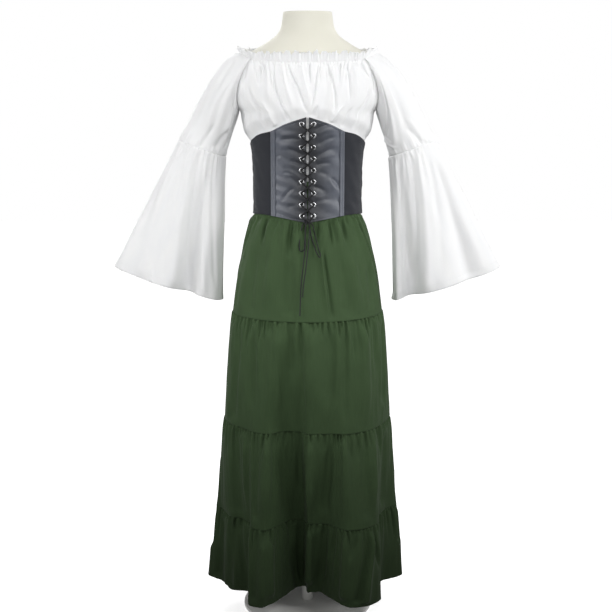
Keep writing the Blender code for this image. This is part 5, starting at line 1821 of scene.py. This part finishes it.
def leather_front(label, side, lines, rng, finish):
    """One leather front."""
    points = panel_points(side, True, 0.0, LEATHER_EDGE_X, LEATHER_COLUMNS, LEATHER_ROWS,
                          LEATHER, 0.0, lambda x, z: leather_relief(x, z, lines, rng))
    made = surface(f"leather_{label}_skin", points, finish,
                   [f"leather_{label}"])


STRIP_COLUMNS = 26
STRIP_ROWS = 120
STRIP_FOLD_RISE = 0.0010


def edge_strip(label, side, finish):
    """The doubled strip over the leather's outer edge: two rounded folds with a groove between
    them."""
    middle = LEATHER_EDGE_X - STRIP_WIDTH / 2

    def relief(x, z):
        across = (np.abs(x) - middle) / (STRIP_WIDTH / 2)
        fold = 1 - (2 * np.abs(np.abs(across) - 0.5)) ** 2
        return STRIP_FOLD_RISE * np.sqrt(np.clip(fold, 0, 1))

    points = panel_points(side, False, LEATHER_EDGE_X - STRIP_WIDTH, LEATHER_EDGE_X,
                          STRIP_COLUMNS, STRIP_ROWS, STRIP, LEATHER / 2 + LAP + STRIP / 2,
                          relief)
    made = surface(f"edge_strip_{label}_skin", points, finish,
                   [f"edge_strip_{label}"])


CINCHER_STITCH_R = 0.00035
ROW_START_X = 0.004
ROW_FROM_OUTER_EDGE = 0.001
ROW_UNDER_BINDING = 0.0004
ROW_IN_STRIP = 0.0009
ROW_FROM_STRIP_END = 0.003
STITCH_OVER_LEATHER = 0.0001
STITCH_OVER_STRIP = 0.0002


def cincher_stitches(finish):
    """The rows of stitches on the leather: under the top binding, above the lower edge, and
    along the middle and both edges of the strips."""
    rows = []
    inner = LEATHER_EDGE_X - STRIP_WIDTH
    for side in (-1, 1):
        x = np.linspace(ROW_START_X, LEATHER_EDGE_X - ROW_FROM_OUTER_EDGE, 60)
        bottom, top = corset_edges(x)
        for z in (top - TOP_BINDING - ROW_UNDER_BINDING, bottom + BOTTOM_STITCH):
            rows.append(corset_points(x * side, z, LEATHER / 2 + STITCH_OVER_LEATHER))
        for place in (inner + ROW_IN_STRIP, LEATHER_EDGE_X - STRIP_WIDTH / 2,
                      LEATHER_EDGE_X - ROW_IN_STRIP):
            low, high = corset_edges(place)
            z = np.linspace(high - ROW_FROM_STRIP_END, low + ROW_FROM_STRIP_END, 90)
            lift = LEATHER / 2 + LAP + STRIP + STITCH_OVER_STRIP
            rows.append(corset_points(np.full(z.shape, place * side), z, lift))
    stitches("cincher_stitches", rows, STITCH_PITCH, CINCHER_STITCH_R, finish,
             "cincher_leather")


ELASTIC = 0.0016
ELASTIC_COLUMNS = 460
ELASTIC_ROWS = 44


def elastic_band(rng, finish):
    """The elastic from one leather front round the back to the other, rounded at its edges and
    slightly waved by its pull."""
    across = np.concatenate([[0.002, 0.0], np.linspace(0, 1, ELASTIC_COLUMNS), [1.0, 0.998]])
    down = np.concatenate([[0.012, 0.0], row_shares(ELASTIC_ROWS, 0.4), [1.0, 0.988]])[:, None]
    first = angle_at(LEATHER_EDGE_X + SEAM, WAIST_Z)
    angle = first + (2 * HALF_TURN - 2 * first) * across
    bottom = edge_z(CORSET_BOTTOM, angle)
    z = bottom + (edge_z(CORSET_TOP, angle) - bottom) * (1 - down)
    first = angle_at(LEATHER_EDGE_X + SEAM, z)
    angle = first + (2 * HALF_TURN - 2 * first) * across
    lift = np.full(z.shape, ELASTIC / 2)
    for _ in range(UNEVEN_WAVES):
        turns = angle / rng.uniform(14, 50) + z / rng.uniform(0.02, 0.07)
        lift += UNEVEN_HEIGHT * np.sin(2 * math.pi * (turns + rng.uniform()))
    x, y = section(CORSET_SECTIONS, angle, z, rimmed(lift, 0.0, -ELASTIC / 2))
    made = surface("elastic_band_cloth", np.stack([x, y, z], axis=-1), finish,
                   ["elastic_band"])


# Half section of an eyelet: radius and rise over the leather's skin
EYELET_PROFILE = (
    (0.0029, -0.0011), (0.0029, 0.0002), (0.0030, 0.0007), (0.0034, 0.0011), (0.0041, 0.0012),
    (0.0048, 0.0011), (0.0054, 0.0007), (0.0057, 0.0003), (0.0057, 0.0000),
)
EYELET_TURNS = 30


def eyelets(label, side, finish):
    """Ring eyelets: a rolled half section turned about each hole."""
    profile = np.array(EYELET_PROFILE)
    turn = -2 * math.pi * np.arange(EYELET_TURNS) / EYELET_TURNS
    for number, height in enumerate(eyelet_heights(), 1):
        centre, normal = corset_points(EYELET_X * side, height, LEATHER / 2)
        beside = unit(np.cross(normal, (0.0, 0.0, 1.0)))
        above = np.cross(normal, beside)
        ring = beside * np.cos(turn)[:, None] + above * np.sin(turn)[:, None]
        points = (centre + ring[None] * profile[:, 0][:, None, None]
                  + normal * profile[:, 1][:, None, None])
        surface(f"ring_{label}_{number}", points, finish,
                [f"eyelet_{label}_{number}"], closed=True)


# The laces are drawn wider than the cord of the CAD model, as they look in the photograph
LACE_DRAWN_R = 0.0019
LACE_SIDES = 10
LACE_POINT_SPACING = 0.0012


def lacing(label, first_side, finish):
    """One lace: down through an eyelet, across the gap to the next on the other side, over or
    under its twin, and from the last eyelet to the bow's knot."""
    heights = eyelet_heights()
    rows = []
    side = first_side
    for number, height in enumerate(heights):
        x = EYELET_X * side
        rows.append((x, height + LACE_LEG, LACE_IN_HOLE))
        rows.append((x, height - LACE_LEG, LACE_IN_HOLE))
        if number == EYELET_ROWS - 1:
            break
        end_x, end_z = -x, heights[number + 1] + LACE_LEG
        start = np.array([x, height - LACE_LEG])
        way = np.array([end_x, end_z]) - start
        near = LACE_RING_REACH / np.linalg.norm(way)
        over = LACE_OVER if (number + (first_side > 0)) % 2 else LACE_UNDER
        for share, offset in ((near, LACE_OVER_RING), (0.5, over), (1 - near, LACE_OVER_RING)):
            rows.append((*(start + way * share), offset))
        side = -side
    x = EYELET_X * side
    rows.append((x - side * LACE_RING_REACH, heights[-1] - LACE_RING_REACH, LACE_OVER))
    rows.append((side * (KNOT_SIZE[0] + LACE_R - EDGE_GAP), KNOT_Z + LACE_R, KNOT_OFFSET))
    table = np.array(rows)
    points = corset_points(table[:, 0], table[:, 1], table[:, 2])[0]
    tube(f"lace_{label}_cord", smooth_route(points, LACE_POINT_SPACING), LACE_DRAWN_R,
         LACE_SIDES, finish, [f"lace_{label}"])


BOW_POINT_SPACING = 0.0030
TAIL_LONG_LENGTH = 0.2080
TAIL_SHORT_LENGTH = 0.1690
BOW_CORD_SIDES = 12
KNOT_ROWS = 25
KNOT_TURNS = 40
KNOT_GROOVE = 0.13


def bow(finish):
    """The bow: a knot wound from the cord, two loops and two free tails."""
    for name, route, length in (("bow_tail_long", TAIL_LONG, TAIL_LONG_LENGTH),
                                ("bow_tail_short", TAIL_SHORT, TAIL_SHORT_LENGTH)):
        line = smooth_route([at_knot(route[0]), *route], BOW_POINT_SPACING)
        made = tube(f"{name}_cord", line, BOW_CORD_R, BOW_CORD_SIDES, finish,
                    [name])
    for name, route in (("bow_loop_left", LOOP_LEFT), ("bow_loop_right", LOOP_RIGHT)):
        line = smooth_route([at_knot(route[0]), *route, at_knot(route[-1])], BOW_POINT_SPACING)
        tube(f"{name}_cord", line, BOW_CORD_R, BOW_CORD_SIDES, finish, [name])
    tilt, turn = np.meshgrid(np.linspace(0, math.pi, KNOT_ROWS),
                             -np.arange(KNOT_TURNS) * 2 * math.pi / KNOT_TURNS, indexing="ij")
    groove = 1 - KNOT_GROOVE * np.abs(np.cos(1.5 * (tilt * 2 + turn))) ** 3 * np.sin(tilt)
    ball = np.stack([np.sin(tilt) * np.cos(turn), np.sin(tilt) * np.sin(turn), np.cos(tilt)], -1)
    points = knot_centre() + ball * np.array(KNOT_SIZE) * groove[..., None]
    surface("bow_knot_cord", points, finish, ["bow_knot"], closed=True, poles=True)


# The dress form and its stand

FORM_COLUMNS = 120
FORM_ROWS = 150
NECK_BAND_Z = 1.345
NECK_BAND_HALF = 0.0015
BACK_SEAM_HALF = 1.6
FORM_SEAM_DEPTH = 0.0006
NECK_CAP_RINGS = (0.0, 0.5, 0.90, 0.985)
NECK_CAP_DOME = 0.0012
UNDERSIDE_RINGS = (0.99, 0.5, 0.0)


def turned_surface(name, profile, finish, nodes, columns=96):
    """A surface turned about the pole's axis from radius and height pairs, from the top down."""
    turn = np.arange(columns) * 2 * math.pi / columns
    radius, height = (np.array(profile)[:, i][:, None] for i in (0, 1))
    points = np.stack(np.broadcast_arrays(radius * np.cos(turn), radius * np.sin(turn), height),
                      axis=-1)
    return surface(name, points, finish, nodes, closed=True, poles=True)


def dress_form(finish):
    """The torso: its ovals, closed by a slightly domed neck cap and a flat underside, with a
    seam round the neck and one down the middle of the back."""
    angle = np.arange(FORM_COLUMNS) * 360.0 / FORM_COLUMNS
    heights = np.linspace(FORM_SECTIONS[-1][0], FORM_SECTIONS[0][0], FORM_ROWS)
    z, turn = np.meshgrid(heights, angle, indexing="ij")
    x, y = section(FORM_SECTIONS, turn, z)
    body = np.stack([x, y, z], axis=-1)
    seam = FORM_SEAM_DEPTH * hump(z - NECK_BAND_Z, NECK_BAND_HALF)
    seam += FORM_SEAM_DEPTH * hump(np.abs(turn - HALF_TURN), BACK_SEAM_HALF)
    body = body - outward(body, closed=True) * seam[..., None]
    caps = []
    for edge, shares, dome in ((body[0], NECK_CAP_RINGS, NECK_CAP_DOME),
                               (body[-1], UNDERSIDE_RINGS, 0.0)):
        centre = edge.mean(axis=0)
        caps.append(np.array([centre + (edge - centre) * share
                              + np.array([0, 0, dome * (1 - share ** 2)]) for share in shares]))
    points = np.concatenate([caps[0], body, caps[1]])
    surface("form_jersey_skin", points, finish, ["form_torso"], closed=True,
            poles=True)


RIM_STEPS = 6
PLATE_RING_R = 0.05
UNDER_BEVEL = 0.0006
POLE_BEVEL = 0.001
POLE_RING_RISE = 0.03
POLE_COLUMNS = 48


def stand(finish):
    """The round base plate with a rolled rim, and the pole."""
    rim = [(BASE_R - BASE_BEVEL * (1 - math.sin(a)), BASE_HEIGHT - BASE_BEVEL * (1 - math.cos(a)))
           for a in np.linspace(0, math.pi / 2, RIM_STEPS)]
    plate = [(0, BASE_HEIGHT), (PLATE_RING_R, BASE_HEIGHT), *rim, (BASE_R, UNDER_BEVEL),
             (BASE_R - UNDER_BEVEL, 0), (0, 0)]
    turned_surface("stand_base_plate", plate, finish, ["stand_base"])
    foot = BASE_HEIGHT + LAP
    pole = [(0, POLE_TOP_Z), (POLE_R - POLE_BEVEL, POLE_TOP_Z), (POLE_R, POLE_TOP_Z - POLE_BEVEL),
            (POLE_R, foot + POLE_RING_RISE), (POLE_R, foot), (0, foot)]
    turned_surface("stand_pole_tube", pole, finish, ["stand_pole"], POLE_COLUMNS)


# Floor and light

def area_light(name, place, target, size, power, spread):
    """A round softbox with a grid: it lights only within its spread, in degrees."""
    lamp = bpy.data.lights.new(name, "AREA")
    lamp.shape = "DISK"
    lamp.size = size
    lamp.energy = power
    lamp.spread = math.radians(spread)
    made = bpy.data.objects.new(name, lamp)
    made.location = place
    way = np.array(target, float) - np.array(place, float)
    made.rotation_euler = (math.atan2(math.hypot(way[0], way[1]), -way[2]), 0,
                           math.atan2(-way[0], way[1]))
    bpy.context.scene.collection.objects.link(made)


# Softboxes: name, place, what each points at, size, power, and spread in degrees
LIGHTS = (
    ("key", (1.35, -1.75, 2.20), (0, 0, 1.05), 0.8, 6.2, 100),
    ("key side", (2.0, -0.75, 1.30), (0.2, 0, 1.0), 0.9, 3.3, 80),
    ("fill side", (-2.0, -0.75, 1.30), (-0.2, 0, 1.0), 0.9, 2.6, 80),
    ("fill", (-1.6, -1.8, 1.75), (0, 0, 1.03), 1.0, 4.2, 100),
    ("front", (0.1, -2.7, 1.35), (0, 0, 0.95), 1.3, 2.9, 110),
    ("top", (0.0, -0.1, 2.9), (0, 0, 1.2), 1.0, 1.0, 90),
    ("behind", (-1.0, 2.1, 2.1), (0, 0, 1.1), 1.1, 8.5, 80),
    ("behind right", (1.7, 1.6, 1.8), (0, 0, 1.1), 1.1, 3, 80),
)
FLOOR_REACH = 9.0
FLOOR_Z = -0.0004
# The floor goes from grey to white between these distances from the pole
FLOOR_SHADE = (0.15, 0.9)
SURROUND_LIGHT = 0.25
WHITE = (1.0, 1.0, 1.0, 1.0)


def studio_floor():
    """White paper that glows towards its edges, with a soft grey round the stand."""
    made, tree, shader = finish_of("white studio paper", Roughness=0.9, Emission_Strength=1.0)
    place = own_place(tree)
    shown(tree, shader, mixed(tree, noise(tree, place, 40.0), "#F6F6F6", "#F9F9F9"))
    away = node(tree, "VectorMath", {0: place}, operation="LENGTH")["Value"]
    glow = mixed(tree, ranged(tree, away, *FLOOR_SHADE), "#D2D2D2", "#FFFFFF")
    tree.links.new(glow, shader.inputs["Emission Color"])
    corners = [(x * FLOOR_REACH, y * FLOOR_REACH, FLOOR_Z)
               for x, y in ((-1, -1), (1, -1), (1, 1), (-1, 1))]
    mesh = bpy.data.meshes.new("studio_floor")
    mesh.from_pydata(corners, [], [(0, 1, 2, 3)])
    mesh.materials.append(made)
    floor = bpy.data.objects.new("studio_floor", mesh)
    bpy.context.scene.collection.objects.link(floor)
    floor.visible_diffuse = False
    floor.visible_glossy = False


def surroundings():
    """White to the camera, and a dimmer white as light."""
    world = bpy.data.worlds.new("studio")
    world.use_nodes = True
    tree = world.node_tree
    dim = tree.nodes["Background"]
    dim.inputs["Color"].default_value = WHITE
    dim.inputs["Strength"].default_value = SURROUND_LIGHT
    white = node(tree, "Background", {"Color": WHITE, "Strength": 1.0})[0]
    seen = node(tree, "LightPath")["Is Camera Ray"]
    both = node(tree, "MixShader", {0: seen, 1: dim.outputs[0], 2: white})[0]
    tree.links.new(both, tree.nodes["World Output"].inputs["Surface"])
    bpy.context.scene.world = world


def studio():
    """A white floor, white surroundings, and large soft lights from the front and above."""
    studio_floor()
    surroundings()
    for light in LIGHTS:
        area_light(*light)
    bpy.context.scene.view_settings.view_transform = "Standard"


def gown(rng):
    """The cord, the blouse and sleeves, the cincher, and the skirt, in that order."""
    cord = braided_cord()
    bow(cord)
    lacing("left", -1, cord)
    lacing("right", 1, cord)

    gauze = washed_cotton_gauze()
    white_thread = spun_thread("white sewing thread", "#DDDEDF", "#F2F2F2")
    blouse_half("blouse_front", False, rng, gauze)
    blouse_half("blouse_back", True, rng, gauze)
    neck_frill(rng, gauze, white_thread)
    for label, side, sleeve, folds, lines in (
            ("left", -1, SLEEVE_CREASES_LEFT, BELL_FOLDS_LEFT, BELL_CREASES_LEFT),
            ("right", 1, SLEEVE_CREASES_RIGHT, BELL_FOLDS_RIGHT, BELL_CREASES_RIGHT)):
        upper_sleeve(label, side, sleeve, rng, gauze)
        bell(label, side, folds, lines, rng, gauze, white_thread)

    leather = creased_faux_leather()
    nickel = polished_nickel()
    for label, side, lines in (("left", -1, LEATHER_CREASES_LEFT),
                               ("right", 1, LEATHER_CREASES_RIGHT)):
        leather_front(label, side, lines, rng, leather)
        edge_strip(label, side, leather)
        eyelets(label, side, nickel)
    cincher_stitches(spun_thread("slate sewing thread", "#565A63", "#868B96"))
    elastic_band(rng, ribbed_elastic())

    challis = rayon_challis()
    first_tier(rng, challis)
    for tier, lines in ((TIER_2, TIER_2_CREASES), (TIER_3, TIER_3_CREASES),
                        (TIER_4, TIER_4_CREASES)):
        gathered_tier(tier, lines, rng, challis)


def main():
    """The view, the gown, the form on its stand, and the studio."""
    camera()
    gown(np.random.default_rng(14))
    dress_form(cream_jersey())
    stand(white_powder_coat())
    studio()


main()
